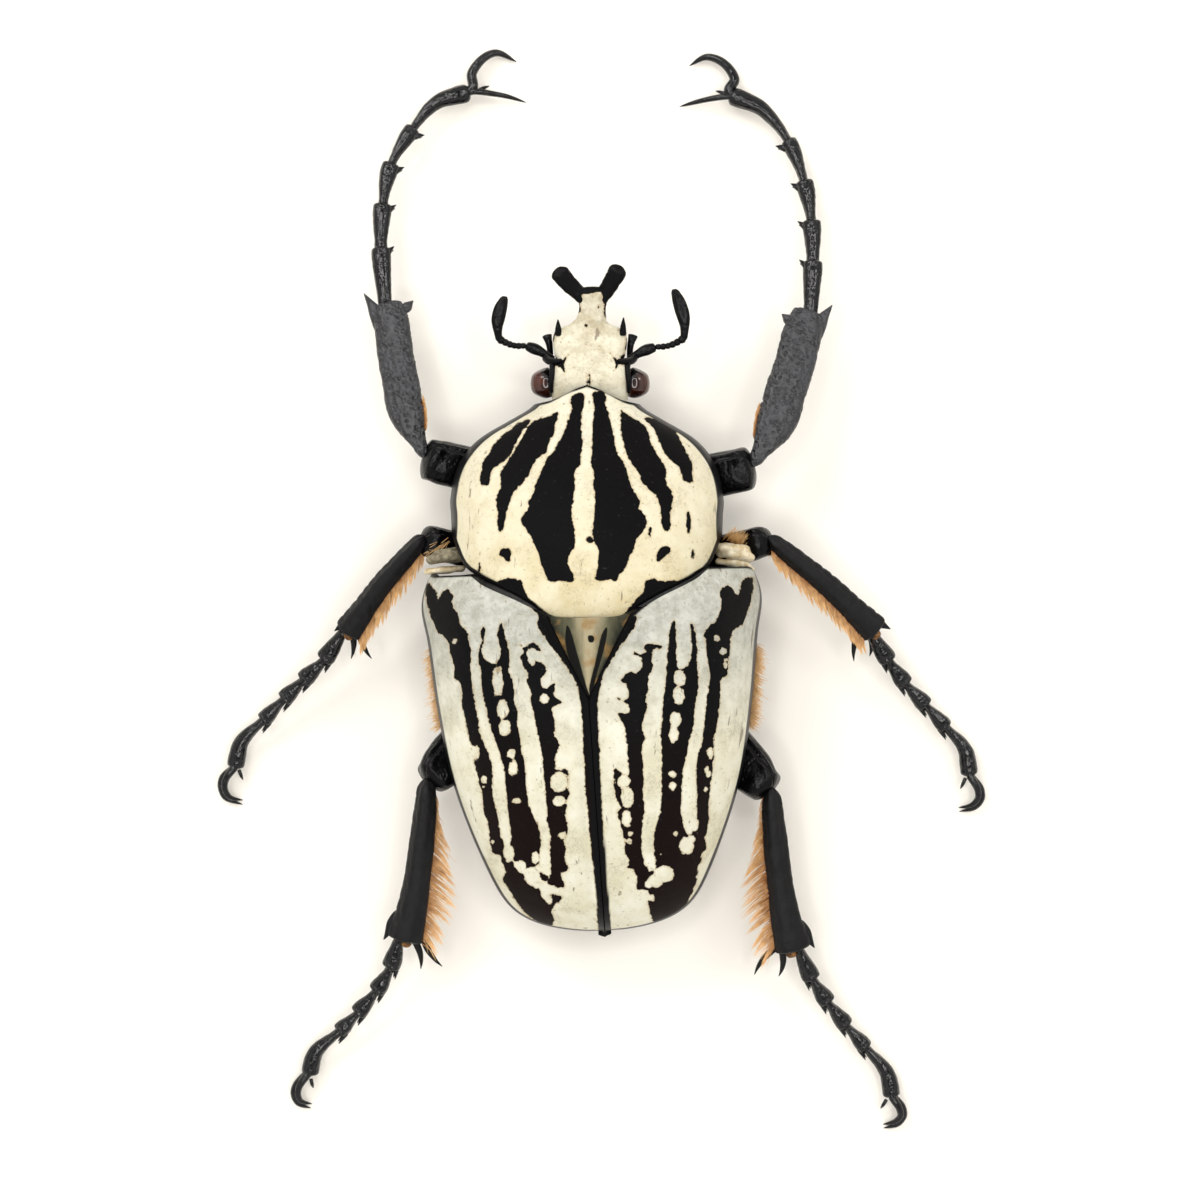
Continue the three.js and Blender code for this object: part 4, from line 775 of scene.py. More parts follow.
# Each finish by its name: the function that makes it, and its values
FINISHES = {
    # a dry felt, ivory on the shield and the head and whiter on the wing cases, cut by matt black
    "pronotum": (scaled_cuticle, "ivory_felted_cuticle", "#DBD4B9", "#CBBD95", ("#DDD9C9", "#D6D0B8"), 0.010, 0.030,
                 "#070607", "#070607", 0.07),
    "head": (scaled_cuticle, "ivory_head_cuticle", "#E6E2CF", "#D6CEB2", ("#DCD6C2", "#B4A88C"), 0.028, 0.042,
             "#070607", "#070607", 0.1),
    "wing": (scaled_cuticle, "white_felted_cuticle", "#DDDBCA", "#CFCAB0", ("#BFC0B8", "#9C9C92"), -0.009, 0.004,
             "#080809", "#110706", 0.07),
    "scutellum": (olive_plate,),
    "plate": (felted_plate,),
    # black horn: crisp highlights on thighs and feet, slate grey and rugged on the front shins, satin elsewhere
    "leg": (black_horn, "polished_black_horn", "#040405", "#08080A", 0.5, 0.03, 0.14, 0.3, 0.14),
    "foot": (black_horn, "glossy_black_horn", "#040405", "#09090C", 0.4, 0.03, 0.08, 0.2, 0.4),
    "shin": (black_horn, "pitted_slate_horn", "#101114", "#2C2D32", 0.55, 0.16, 0.34, 0.52, 0.6),
    "dull": (black_horn, "dull_black_horn", "#0B0B0C", "#141415", 0.3, 0.02, 0.42, 0.6, 0.2),
    "under": (black_horn, "waxy_black_underside", "#0C0B0A", "#1B1914", 0.8, 0.03, 0.26, 0.45, 0.35),
    "skin": (joint_skin,),
    "eye": (eye_lens,),
    # stiff hairs, brightest at their tips
    "orange": (hair, "orange_setae", "#8C4E14", "#ECBE80"),
    "gold": (hair, "golden_setae", "#8A5E2C", "#E6BC80"),
}
MADE = {}


def finish(key):
    """The material of a finish, made when a piece first asks for it."""
    if key not in MADE:
        maker, *values = FINISHES[key]
        MADE[key] = maker(*values)
    return MADE[key]


# ---------------------------------------------------------------- the body's surfaces


def tail_share(back):
    past = np.clip((back - TAIL_FROM) / (REAR_LENGTH - TAIL_FROM), 0, 1)
    return np.sqrt(np.maximum(0, 1 - past**6))


def turned(place):
    """From the hind body's own frame, with y counted from the shoulders, to the beetle's."""
    c, s = math.cos(REAR_TURN), math.sin(REAR_TURN)
    x, y = place[:, 0], place[:, 1]
    return np.c_[x * c - y * s + REAR_ORIGIN[0], x * s + y * c + REAR_ORIGIN[1], place[:, 2]]


def back_point(share, back, inset, side):
    """The arched back of the hind body, drawn in by inset."""
    edge = smooth(back, CASE_EDGE)
    shrink = tail_share(back)
    width = np.maximum(case_half(back) - inset, 0.05)
    rise = np.maximum((smooth(back, CASE_TOP) - edge) * shrink - inset, 0.05)
    return np.c_[side * width * section_x(share), REAR_START - back, edge + rise * section_z(share)]


def case_half(back):
    return smooth(back, CASE_WIDTH) * tail_share(back)


def share_at(x, back):
    ratio = np.clip(x / case_half(back), -1, 1)
    return np.arcsin(np.sign(ratio) * np.abs(ratio) ** (SQUARE / 2)) * 2 / math.pi


def case_front(x):
    return REAR_ORIGIN[1] + REAR_START - smooth(np.minimum(x, FRONT_CORNER), PRONOTUM_REAR) + PLATE_GAP


def scutellum_half(back):
    share = (SCUTELLUM_TIP - back) / (SCUTELLUM_TIP - SCUTELLUM_FROM)
    return SCUTELLUM_HALF * np.clip(share, 0, 1.3)


class BEETLE_PG_settings(bpy.types.PropertyGroup):
    """Sizes and colours that a user may change."""

    plate: FloatProperty(name="Plate thickness", description="Thickness of the horny plates", default=0.0009,
                         unit="LENGTH", min=0.0003, max=0.002)
    hair_length: FloatProperty(name="Hair length", description="Length of the longest hairs on the hind shins",
                               default=0.0042, unit="LENGTH", min=0.001, max=0.006)
    hair_width: FloatProperty(name="Hair width", description="Width of a hair at its root", default=0.00011,
                              unit="LENGTH", min=0.00004, max=0.0003)
    ground: FloatVectorProperty(name="Ground colour", description="Colour of the pale ground",
                                default=linear("#FAF5EC", False), subtype="COLOR", size=3, min=0, max=1)


class BEETLE_OT_pronotum(bpy.types.Operator):
    """Builds the shield over the front of the body"""

    bl_idname = "beetle.pronotum"
    bl_label = "Pronotum"

    def execute(self, context):
        def rule(u, v):
            across = np.abs(2 * u - 1)
            side = np.where(u < 0.5, -1, 1)
            rear = smooth(PRONOTUM_SIDE * section_x(across), PRONOTUM_REAR)
            front = smooth(PRONOTUM_FRONT_HALF * section_x(across), PRONOTUM_FRONT)
            y = front + (rear - front) * v
            edge = smooth(y, PRONOTUM_EDGE)
            x = side * smooth(y, PRONOTUM_WIDTH) * section_x(across)
            z = edge + (smooth(y, PRONOTUM_TOP) - edge) * section_z(across)
            place = np.c_[x, y, z]
            place[:, 2] += 0.10 * rough(place, 5.5, 1) + 0.03 * rough(place, 1.6, 2)
            # the raised bead of the side margin, and the lip that turns down at the rear
            place[:, 0] += side * 0.12 * bell(1 - across, 0.02)
            place[:, 2] -= 0.5 * np.clip((v - 0.985) / 0.015, 0, 1) ** 2
            return place

        piece = sheet("pronotum_shield", 200, 150, rule)
        face_up(piece)
        place = corners(piece)
        depth = black_depth(place, PRONOTUM_PLAN, PRONOTUM_BLACK)
        width = smooth(place[:, 1], PRONOTUM_WIDTH)
        store(piece, "marking", depth)
        margin = width * 1.008 - np.abs(place[:, 0])
        broad = smooth(place[:, 1], [(-3, 0.12), (4, 0.2), (6.5, 0.7), (9, 0.95), (14, 0.95), (17, 1.15), (20, 1.25),
                                     (22, 1.1), (25, 0.6)])
        rear = place[:, 1] - smooth(np.abs(place[:, 0]), PRONOTUM_REAR)
        front = smooth(np.abs(place[:, 0]), PRONOTUM_FRONT) - place[:, 1]
        rim = np.maximum(np.clip((broad - margin) / 0.08, 0, 1), np.clip((0.5 - rear) / 0.1, 0, 1))
        store(piece, "rim", np.maximum(rim, np.clip((0.4 - front) / 0.12, 0, 1)))
        apply(piece, "SOLIDIFY", thickness=context.scene.beetle.plate, offset=-1)
        dress(piece, "pronotum", "pale_plate", "pronotum")
        return {"FINISHED"}


class BEETLE_OT_wing_cases(bpy.types.Operator):
    """Builds the two wing cases, the scutellum between them and the plates at their shoulders"""

    bl_idname = "beetle.wing_cases"
    bl_label = "Wing cases"

    def execute(self, context):
        self.thickness = context.scene.beetle.plate
        self.wing_case("left", -1, LEFT_PLAN, LEFT_CASE_BLACK, LEFT_CASE_SPOTS)
        self.wing_case("right", 1, RIGHT_PLAN, RIGHT_CASE_BLACK, RIGHT_CASE_SPOTS)
        self.scutellum()
        for name, x in (("left", -16.6), ("right", 17.4)):
            self.shoulder(name, x)
        return {"FINISHED"}

    def wing_case(self, name, side, plan, outlines, spots):
        first = share_at(SCUTELLUM_HALF, SCUTELLUM_FROM)

        def rule(u, v):
            corner = SHOULDER_BACK[side] * np.clip((u - 0.7) / 0.3, 0, 1) ** 2
            front = case_front(smooth(4, CASE_WIDTH) * section_x(first + (1 - first) * u)) + corner
            back = front + (REAR_LENGTH - 0.02 - front) * np.sin(v * math.pi / 2) ** 1.15
            gap = SEAM_GAP + scutellum_half(back)
            inner = share_at(gap + side * smooth(back, SUTURE_LINE), back)
            place = back_point(inner + (1 - inner) * u, back, 0, side)
            out = np.abs(place[:, 0] - smooth(back, SUTURE_LINE)) - scutellum_half(back)
            # the seam's raised lips, the shoulder and tail swellings, and two faint ribs
            place[:, 2] += 0.22 * bell(out, 0.5) - 0.3 * bell(out - 1.15, 0.5)
            place[:, 2] += 0.75 * bell(out + scutellum_half(back) - 14.2, 2.6) * bell(back - 7.5, 4)
            place[:, 2] += 0.7 * bell(out - 7.5, 2.4) * bell(back - 39, 3)
            ribs = bell(out - 6.2, 0.8) + bell(out - 11.4, 0.8)
            place[:, 2] += 0.12 * ribs * np.clip((back - 8) / 8, 0, 1) * np.clip((40 - back) / 8, 0, 1)
            place[:, 2] += 0.08 * rough(place, 4.5, 3) + 0.025 * rough(place, 1.4, 4)
            # a small thorn where the seam ends
            thorn = np.clip((v - 0.93) / 0.07, 0, 1) ** 2 * bell(u, 0.035)
            place[:, 1] -= 0.75 * thorn
            return turned(place)

        piece = sheet(f"wing_case_{name}", 120, 220, rule)
        face_up(piece)
        place = corners(piece)
        store(piece, "marking", black_depth(place, plan, outlines, spots))
        c, s = math.cos(REAR_TURN), math.sin(REAR_TURN)
        local = np.c_[place[:, 0] - REAR_ORIGIN[0], place[:, 1] - REAR_ORIGIN[1]]
        x, back = local[:, 0] * c + local[:, 1] * s, REAR_START + local[:, 0] * s - local[:, 1] * c
        # the rim is as wide round the tail, where the outline turns in
        slope = np.where(back > TAIL_FROM, (case_half(back - 0.2) - case_half(back + 0.2)) / 0.4, 0)
        margin = (case_half(back) - np.abs(x)) / np.sqrt(1 + slope**2)
        broad = smooth(back, [(3, 0.1), (5, 0.3), (9, 0.5), (30, 0.52), (40, 0.5), (45, 0.4)])
        seam = np.abs(x - smooth(back, SUTURE_LINE)) - scutellum_half(back)
        seam_and_shadow_band = np.clip((smooth(back, [(16, 0.3), (19, 0.55), (44, 0.8)]) - seam) / 0.08, 0, 1) * (back > 14)
        corner = np.clip((np.abs(x) / smooth(4, CASE_WIDTH) - 0.9) / 0.1, 0, 1)
        front = case_front(np.abs(x)) + SHOULDER_BACK[side] * corner**2
        # the black band along each wing case's front edge, just behind the shield, is painted shadow: it stands for
        # the shade that the shield's rear edge casts there; the band by the seam is the real black of the seam's lips
        seam_and_shadow_band = np.maximum(seam_and_shadow_band, np.clip((0.3 - back + front) / 0.12, 0, 1))
        store(piece, "rim", np.maximum(seam_and_shadow_band, np.clip((broad - margin) / 0.07, 0, 1)))
        apply(piece, "SOLIDIFY", thickness=self.thickness, offset=-1)
        dress(piece, "wing", "wing_case", f"elytron_{name}")

    def scutellum(self):
        def rule(u, v):
            wide = 2 * u - 1
            start = case_front(SCUTELLUM_HALF * np.abs(wide) * 0.9) - 0.6
            back = start + (SCUTELLUM_TIP - 0.15 - start) * v
            half = np.maximum(scutellum_half(back) - SEAM_GAP, 0.02)
            x = wide * half + smooth(back, SUTURE_LINE)
            place = back_point(np.abs(share_at(x, back)), back, 0.12, np.where(x < 0, -1, 1))
            place[:, 2] += 0.25 * (1 - wide**2) * (1 - v) - 0.12
            return turned(place)

        piece = sheet("scutellum_plate", 90, 90, rule)
        face_up(piece)
        place = corners(piece)
        store(piece, "marking", black_depth(place, LEFT_PLAN, SCUTELLUM_BLACK))
        back = REAR_ORIGIN[1] + REAR_START - place[:, 1]
        middle = REAR_ORIGIN[0] + (back - REAR_START) * math.sin(REAR_TURN) + smooth(back, SUTURE_LINE)
        store(piece, "rim", np.abs(place[:, 0] - middle) / np.maximum(scutellum_half(back), 0.4))
        apply(piece, "SOLIDIFY", thickness=self.thickness, offset=-1)
        dress(piece, "scutellum", "wing_case", "scutellum")

    def shoulder(self, name, x):
        side = -1 if x < 0 else 1

        def detail(place, normal, t, angle):
            folds = 0.16 * np.sin(place[:, 1] * 4.2 + 0.5 * rough(place, 1.5, 21)) + 0.12 * rough(place, 0.8, 5)
            return place + normal * folds[:, None]

        y = 5.05 if side < 0 else 5.6
        path = [(x - side * 2.3, y + 0.35, 13.4), (x - side * 0.8, y + 0.25, 14.1), (x + side * 1.0, y, 13.9),
                (x + side * 2.1, y - 0.6, 12.8)]
        body = limb("body", path, [(0, 0.7, 0.9), (0.3, 0.85, 1.4), (0.7, 0.85, 1.4), (1, 0.6, 0.9)], sides=56,
                    rings=70, detail=detail, ends=(0.2, 0.25))
        fold = [(x - side * 2.2, y - 1.15, 13.7), (x, y - 1.35, 14.2), (x + side * 1.6, y - 1.5, 13.8),
                (x + side * 2.5, y - 1.85, 12.8)]
        lip = limb("lip", fold, [(0, 0.34, 0.5), (0.5, 0.46, 0.6), (1, 0.3, 0.4)], sides=20, rings=50, detail=detail)
        store(body, "marking", 0.05 if side < 0 else 0.9)
        store(lip, "marking", 1)
        dress(join(f"shoulder_plate_felt_{name}", [body, lip]), "plate", "tan_plate", f"shoulder_plate_{name}")


class BEETLE_OT_trunk(bpy.types.Operator):
    """Builds the body under the plates: thorax, ringed abdomen and tail plate"""

    bl_idname = "beetle.trunk"
    bl_label = "Trunk"

    def execute(self, context):
        inset = 1.25  # how far the body lies under the plates' outer faces

        def ring(name, start, stop, rings, node, key, slot, steps=0):
            def wide(y):
                return case_half(REAR_START - y) - inset - 2 * np.clip((2 + y) / 3, 0, 1) ** 2

            def top(y):
                edge = smooth(REAR_START - y, CASE_EDGE)
                return edge + (smooth(REAR_START - y, CASE_TOP) - edge) * tail_share(REAR_START - y) - inset

            def detail(place, y, angle):
                under = np.clip((smooth(REAR_START - y, CASE_EDGE) - 0.5 - place[:, 2]) / 2, 0, 1)
                if steps:
                    share = ((start - y) / (start - stop) * steps) % 1
                    place[:, 2] += under * (0.45 * share**4 - 0.1)
                    place[:, 2] += under * 0.05 * rough(place, 0.8, 6)
                middle = bell(place[:, 0], 0.35) * (0 if steps else 0.35)
                place[:, 2] += under * (middle + 0.08 * rough(place, 2.2, 7))
                place[:, 2] = np.maximum(place[:, 2], 0)
                return turned(place)

            def edge(y):
                return smooth(REAR_START - y, CASE_EDGE) - 0.2

            def keel(y):
                return smooth(REAR_START - y, BELLY)

            piece = barrel(name, start, stop, rings, 120, wide, top, edge, keel, detail)
            dress(piece, key, slot, node)

        ring("thorax_middle_body", 0.9, -15.5, 90, "thorax_middle", "under", "underside")
        ring("abdomen_rings", -15.3, -35.2, 150, "abdomen", "under", "underside", steps=5)
        ring("tail_plate", -35.0, -40.6, 40, "pygidium", "under", "pale_plate")
        piece = barrel(
            "thorax_front_body", 23.6, 5.1, 90, 120,
            lambda y: smooth(y, PRONOTUM_WIDTH) - 1.2,
            lambda y: smooth(y, PRONOTUM_TOP) - 1.2,
            lambda y: smooth(y, PRONOTUM_EDGE) - 0.3,
            lambda y: smooth(y, PROTHORAX_KEEL),
            lambda place, y, angle: place + 0.12 * rough(place, 1.8, 8)[:, None] * UP,
        )
        dress(piece, "under", "underside", "thorax_front")
        return {"FINISHED"}


class BEETLE_OT_head(bpy.types.Operator):
    """Builds the head with its forked horn, eyes, feelers and palps"""

    bl_idname = "beetle.head"
    bl_label = "Head"

    def execute(self, context):
        def detail(place, y, angle):
            x = place[:, 0]
            wide = smooth(y, HEAD_WIDTH)
            above = np.clip(np.sin(angle) * 3, 0, 1)
            # raised side rims round a shallow dish, and the rise to the horn
            dish = np.clip((y - 28.6) / 1.2, 0, 1) * np.clip((33.2 - y) / 1.2, 0, 1)
            place[:, 2] += above * dish * (0.3 * (np.abs(x) / wide) ** 6 - 0.35 * (1 - (x / wide) ** 2))
            place[:, 2] += above * 0.45 * bell(x, 1.1) * np.clip((y - 31) / 2.5, 0, 1)
            place[:, 2] += above * 0.05 * rough(place, 0.8, 9)
            place[:, 0] += HEAD_X
            return place

        skull = barrel("head_skull", 22.4, 33.9, 170, 128, lambda y: smooth(y, HEAD_WIDTH),
                       lambda y: smooth(y, HEAD_TOP), lambda y: SOCKET_LEVEL + 0 * y, lambda y: smooth(y, HEAD_KEEL),
                       detail, power=2.7)
        store(skull, "marking", black_depth(corners(skull), HEAD_PLAN, HEAD_BLACK))
        # the underside is bare
        store(skull, "rim", np.clip((10.6 - corners(skull)[:, 2]) / 0.5, 0, 1))
        parts = [skull]
        for side, root, tip in ((-1, (-3.75, 31.5, 12.2), (-3.8, 33.35, 12.9)),
                                (1, (3.9, 31.5, 12.2), (4.0, 33.6, 12.9))):
            path = [(HEAD_X + root[0], root[1], root[2]), (HEAD_X + tip[0], tip[1], tip[2])]
            tooth = limb("tooth", path, [(0, 0.46, 0.6), (0.5, 0.33, 0.42), (1, 0.06, 0.08)], sides=20, rings=20)
            store(tooth, "marking", 1)
            store(tooth, "rim", 0)
            parts.append(tooth)
        # black ridges from the feelers' sockets out to their roots and back along the eyes
        for side in (-1, 1):
            for path, girth in (
                ([(3.3, 28.45, 13.5), (4.1, 28.35, 12.8), (4.9, 28.5, 11.9), (5.3, 28.9, 11.3)],
                 [(0, 0.2, 0.3), (0.4, 0.42, 0.6), (1, 0.5, 0.6)]),
                ([(4.5, 28.5, 12.2), (4.45, 27.4, 12.9), (4.6, 26.0, 12.9), (4.65, 24.6, 12.3)],
                 [(0, 0.4, 0.5), (0.4, 0.34, 0.4), (1, 0.24, 0.3)]),
            ):
                ridge = limb("ridge", [(HEAD_X + side * x, y, z) for x, y, z in path], girth, sides=20, rings=30)
                store(ridge, "marking", 1)
                store(ridge, "rim", 1)
                parts.append(ridge)
        dress(join("head_capsule", parts), "head", "pale_plate", "head")
        self.horn()
        for name, x, side in (("left", HEAD_X - 5.15, -1), ("right", HEAD_X + 5.2, 1)):
            self.eye(name, x, side)
        self.feelers()
        return {"FINISHED"}

    def horn(self):
        def grain(place, normal, t, angle):
            return place + normal * (0.07 * rough(place, 0.8, 10) - 0.08 * np.abs(rough(place, 0.4, 16)))[:, None]

        line = [(0.1, 32.5, 12.2), (0.25, 34.0, 12.5), (0.35, 35.8, 13.3), (0.35, 37.1, 14.1)]
        girth = [(0, 2.0, 0.7), (0.25, 1.72, 0.85), (0.5, 1.62, 0.8), (0.75, 1.8, 0.75), (1, 2.2, 0.6)]
        stem = limb("stem", [(HEAD_X + x, y, z) for x, y, z in line], girth, sides=56, rings=80, detail=grain,
                    power=2.5, ends=(0.1, 0.12))
        store(stem, "marking", black_depth(corners(stem), HEAD_PLAN, HEAD_BLACK))
        store(stem, "rim", 0)
        parts = [stem]
        for line, wide in (
            ([(-0.5, 35.4, 13.1), (-1.3, 36.4, 13.6), (-2.45, 37.45, 14.3), (-3.35, 38.4, 15), (-4, 39.2, 15.4)],
             1.12),
            ([(1.15, 35.2, 13.1), (1.75, 36.4, 13.6), (2.5, 37.6, 14.3), (3.1, 38.6, 15), (3.55, 39.6, 15.4)], 1.15),
        ):
            girth = [(0, 0.7, 0.6), (0.3, 0.95, 0.66), (0.6, 1.06, 0.66), (0.85, wide, 0.6), (1, 1.1, 0.5)]
            lobe = limb("lobe", [(HEAD_X + x, y, z) for x, y, z in line], girth, sides=48, rings=70, detail=grain,
                        power=2.4, ends=(0.15, 0.17))
            store(lobe, "marking", 1)
            store(lobe, "rim", 1)
            parts.append(lobe)
        dress(join("forked_horn", parts), "head", "black_cuticle", "horn")

    def eye(self, name, x, side):
        path = [(x, 24.1, 10.5), (x + side * 0.1, 25.9, 10.7), (x - side * 0.1, 27.75, 10.8)]
        girth = [(0, 1.2, 1.2), (0.25, 1.72, 1.75), (0.5, 1.85, 1.85), (0.75, 1.65, 1.7), (1, 1.0, 1.0)]
        piece = limb(f"eye_ball_{name}", path, girth, sides=48, rings=48, ends=(0.3, 0.35))
        place = corners(piece)
        inner = (x + side * 0.35 - place[:, 0]) * side / 0.6 + (place[:, 1] - 25.9) / 1.1
        store(piece, "marking", np.clip(inner, 0, 1))
        dress(piece, "eye", "eye", f"eye_{name}")

    def feelers(self):
        feelers = (
            ("left", -1, (-4.0, 28.6, 11), (-7.3, 30.35, 11.2), (-10.45, 31.1, 11.6),
             [(-10.65, 32.7), (-10.4, 34.3), (-9.75, 36.15)]),
            ("right", 1, (4.9, 28.6, 11), (8.2, 30.2, 11.2), (11.55, 31.2, 11.6),
             [(11.6, 33.0), (11.15, 34.9), (10.35, 37.0)]),
        )
        for name, side, root, joint, elbow, club in feelers:
            root, joint, elbow = map(np.array, (root, joint, elbow))
            parts = [limb("scape", [root, (root + joint) / 2 + (0, 0.2, 0.1), joint],
                          [(0, 0.5, 0.45), (0.35, 0.5, 0.45), (0.7, 0.68, 0.6), (1, 0.5, 0.5)], sides=24, rings=34)]
            bow = np.array((0, -0.18, 0))
            knots = [joint + (elbow - joint) * f + bow * math.sin(f * ARCH) * 2 for f in np.linspace(0, 1, 7)]
            for i, wide in enumerate((0.36, 0.4, 0.38, 0.42, 0.44, 0.5)):
                way = unit(knots[i + 1] - knots[i])
                parts.append(limb("bead", [knots[i] - way * 0.12, knots[i + 1] + way * 0.14],
                                  [(0, wide * 0.72, wide * 0.7), (0.6, wide, wide * 0.95),
                                   (1, wide * 0.85, wide * 0.8)], sides=18, rings=14, ends=(0.3, 0.3)))
            dress(join(f"feeler_{name}", parts), "leg", "black_cuticle", f"antenna_{name}")
            leaves = []
            for fan in (-1, 0, 1):
                path = [elbow + (0, -0.35, 0)]
                path += [(x + fan * side * 0.05 * (k + 1), y, 11.9 + 0.25 * k + 0.3 * fan) for k,
                         (x, y) in enumerate(club)]
                leaves.append(limb("leaf", path, [(0, 0.42, 0.3), (0.2, 0.46, 0.22), (0.5, 0.72, 0.2),
                                                  (0.75, 0.64, 0.18), (0.93, 0.36, 0.13), (1, 0.2, 0.1)], sides=24,
                                   rings=40, ends=(0.1, 0.06)))
            dress(join(f"feeler_club_{name}", leaves), "leg", "black_cuticle", f"antenna_club_{name}")
            foot, end = (HEAD_X + side * 4.75, 29.0, 8.5), (HEAD_X + side * 5.2, 31.85, 8.4)
            palp = limb(f"palp_feeler_{name}", [foot, (foot[0] + side * 0.1, 30.5, 8.6), end],
                        [(0, 0.35, 0.3), (0.6, 0.42, 0.35), (1, 0.62, 0.35)], sides=24, rings=30)
            dress(palp, "leg", "black_cuticle", f"palp_{name}")


class BEETLE_OT_legs(bpy.types.Operator):
    """Builds the six legs, each of hip, thigh, shin, five-jointed foot and claws"""

    bl_idname = "beetle.legs"
    bl_label = "Legs"

    def execute(self, context):
        for leg in LEGS:
            pair = leg["name"].split("_")[0]
            size = LEG_SIZES[pair]
            self.hip(leg, size)
            self.thigh(leg, size)
            self.shin(leg, pair)
            line, ends = foot_line(leg, size)
            self.foot(leg, pair, line, ends)
            self.claws(leg, size, ends[-1])
        return {"FINISHED"}

    def hip(self, leg, size):
        x, y, z = leg["coxa"]
        a, b, c = size["hip"]
        piece = limb(f"{leg['name']}_hip", [(x - a, y, z), (x + a, y, z)],
                     [(0, b * 0.8, c * 0.8), (0.5, b, c), (1, b * 0.8, c * 0.8)], sides=40, rings=40, ends=(0.4, 0.4),
                     detail=stay_above(0.05))
        dress(piece, "under", "black_cuticle", f"{leg['name']}_coxa")

    def thigh(self, leg, size):
        wide, high = size["thigh"]
        hip, knee = np.array(leg["hip"]), np.array(leg["knee"])
        front, hind = leg["name"].startswith("front"), leg["name"].startswith("hind")
        if front:
            knee = hip + (knee - hip) * 0.97
        side = np.sign(unit(np.cross(unit(knee - hip), UP))[1])
        if hind:
            girth = [(0, wide * 0.7, high * 0.7), (0.3, 3.0, high), (0.6, 3.0, high), (0.8, 2.7, high * 0.95),
                     (0.93, 2.2, high * 0.88), (1, 1.8, high * 0.75)]
        else:
            girth = [(0, wide * 0.7, high * 0.7), (0.3, wide, high), (0.85, wide, high),
                     (0.95, wide * 0.93, high * 0.9), (1, wide * 0.75, high * 0.75)]

        def detail(place, normal, t, angle):
            # two keels run along the upper side with a groove between; the knee end is knobbed
            across = np.cos(angle) * side
            above = np.clip(np.sin(angle) * 3, 0, 1)
            keels = bell(across - 0.74, 0.07) + 0.8 * bell(across - 0.36, 0.07)
            groove = bell(across - 0.55, 0.1)
            knob = bell(t - 0.88, 0.07) * bell(across - 0.45, 0.3)
            lift = above * (0.14 * keels * np.clip((0.96 - t) / 0.1, 0, 1) - 0.12 * groove + 0.3 * knob)
            lift += 0.06 * rough(place, 1.6, 11) - 0.04 * np.abs(rough(place, 0.4, 17)) ** 2
            lift += 0.2 * rough(place, 1.3, 31) * np.clip((t - 0.72) / 0.15, 0, 1)
            return place + normal * lift[:, None]

        piece = limb(f"{leg['name']}_thigh", [hip, (hip + knee) / 2 + (0, 0, 0.3), knee], girth, sides=96, rings=110,
                     detail=detail, power=2.8, ends=(0.2, 0.07))
        dress(piece, "leg", "black_cuticle", f"{leg['name']}_femur")

    def shin(self, leg, pair):
        knee, ankle = np.array(leg["knee"]), np.array(leg["ankle"])
        along, out = shin_ways(knee, ankle)
        rows = np.array(SHINS[pair])
        path = [knee + (ankle - knee) * t + out * shift for t, shift, wide, high in rows]
        shares = (rows[:, 0] - rows[0, 0]) / (1 - rows[0, 0])
        girth = [(t, wide * leg["spread"], high) for t, (_, _, wide, high) in zip(shares, rows)]

        def outwards(place):
            return (place - (knee + ankle) / 2) @ out

        def rugged(place, normal, t, angle):
            inner = np.clip(-outwards(place) / 2, -1, 1)
            pits = np.abs(rough(place, 0.36, 12)) ** 1.5
            furrows = rough(place * (1, 0.45, 1), 0.28, 18)
            lift = -0.2 * pits * (0.7 + 0.5 * inner) - 0.05 * furrows - 0.06 * rough(place, 1.1, 13)
            # a low keel along the outer side, where the plate is smoothest
            keel = bell(outwards(place) - 1.1, 0.35) * np.clip(np.sin(angle) * 2, 0, 1)
            return place + normal * (lift + 0.12 * keel)[:, None]

        def ridged(place, normal, t, angle):
            ridge = 0.10 * np.cos(4 * angle + 0.6) + 0.04 * rough(place * (1, 0.4, 1), 0.5, 14)
            ridge -= 0.05 * np.abs(rough(place, 0.35, 19)) ** 2
            # the outer edge has a row of small notches
            outer = np.clip(np.cos(angle) * np.sign(np.cross(along, UP) @ out), 0, 1)
            notch = np.clip(outwards(place) - 0.7, 0, 1) * np.abs(np.sin(t * 40)) ** 6 * outer
            return place + normal * (ridge - 0.09 * notch)[:, None]

        front = pair == "front"
        shaft = limb("shaft", path, girth, sides=96 if front else 72, rings=220 if front else 160,
                     detail=rugged if front else ridged, power=2.6, ends=(0.07, 0.025))
        parts = [shaft]
        for k, (root, tip, thick) in enumerate(leg["teeth"]):
            a, b = np.array((*root, ankle[2])), np.array((*tip, ankle[2] + 0.2))
            bow = out * (-0.45 if front and k == 0 else 0)
            parts.append(limb("tooth", [a, a + (b - a) * 0.5 + bow, b],
                              [(0, thick * 0.8, 0.6), (0.5, thick, 0.6), (0.8, thick * 0.45, 0.35), (1, 0.04, 0.05)],
                              sides=24, rings=40, ends=(0.3, 0.02), power=2.4))
        for k, (root, tip) in enumerate(leg.get("spurs", ())):
            a, b = np.array((*root, ankle[2] - 0.5)), np.array((*tip, ankle[2] - 1.8))
            turn = np.cross(unit(b - a), UP) * (0.32 if (k == 0) == (knee[0] > 0) else -0.32)
            parts.append(limb("spur", [a, a + (b - a) * 0.4 + turn, a + (b - a) * 0.75 + turn * 0.8, b],
                              [(0, 0.42, 0.4), (0.35, 0.4, 0.38), (0.7, 0.25, 0.24), (1, 0.04, 0.04)], sides=20,
                              rings=40, ends=(0.1, 0.02)))
        if not front:
            def wrinkled(place, normal, t, angle):
                return place + normal * (0.1 * rough(place, 0.4, 20))[:, None]

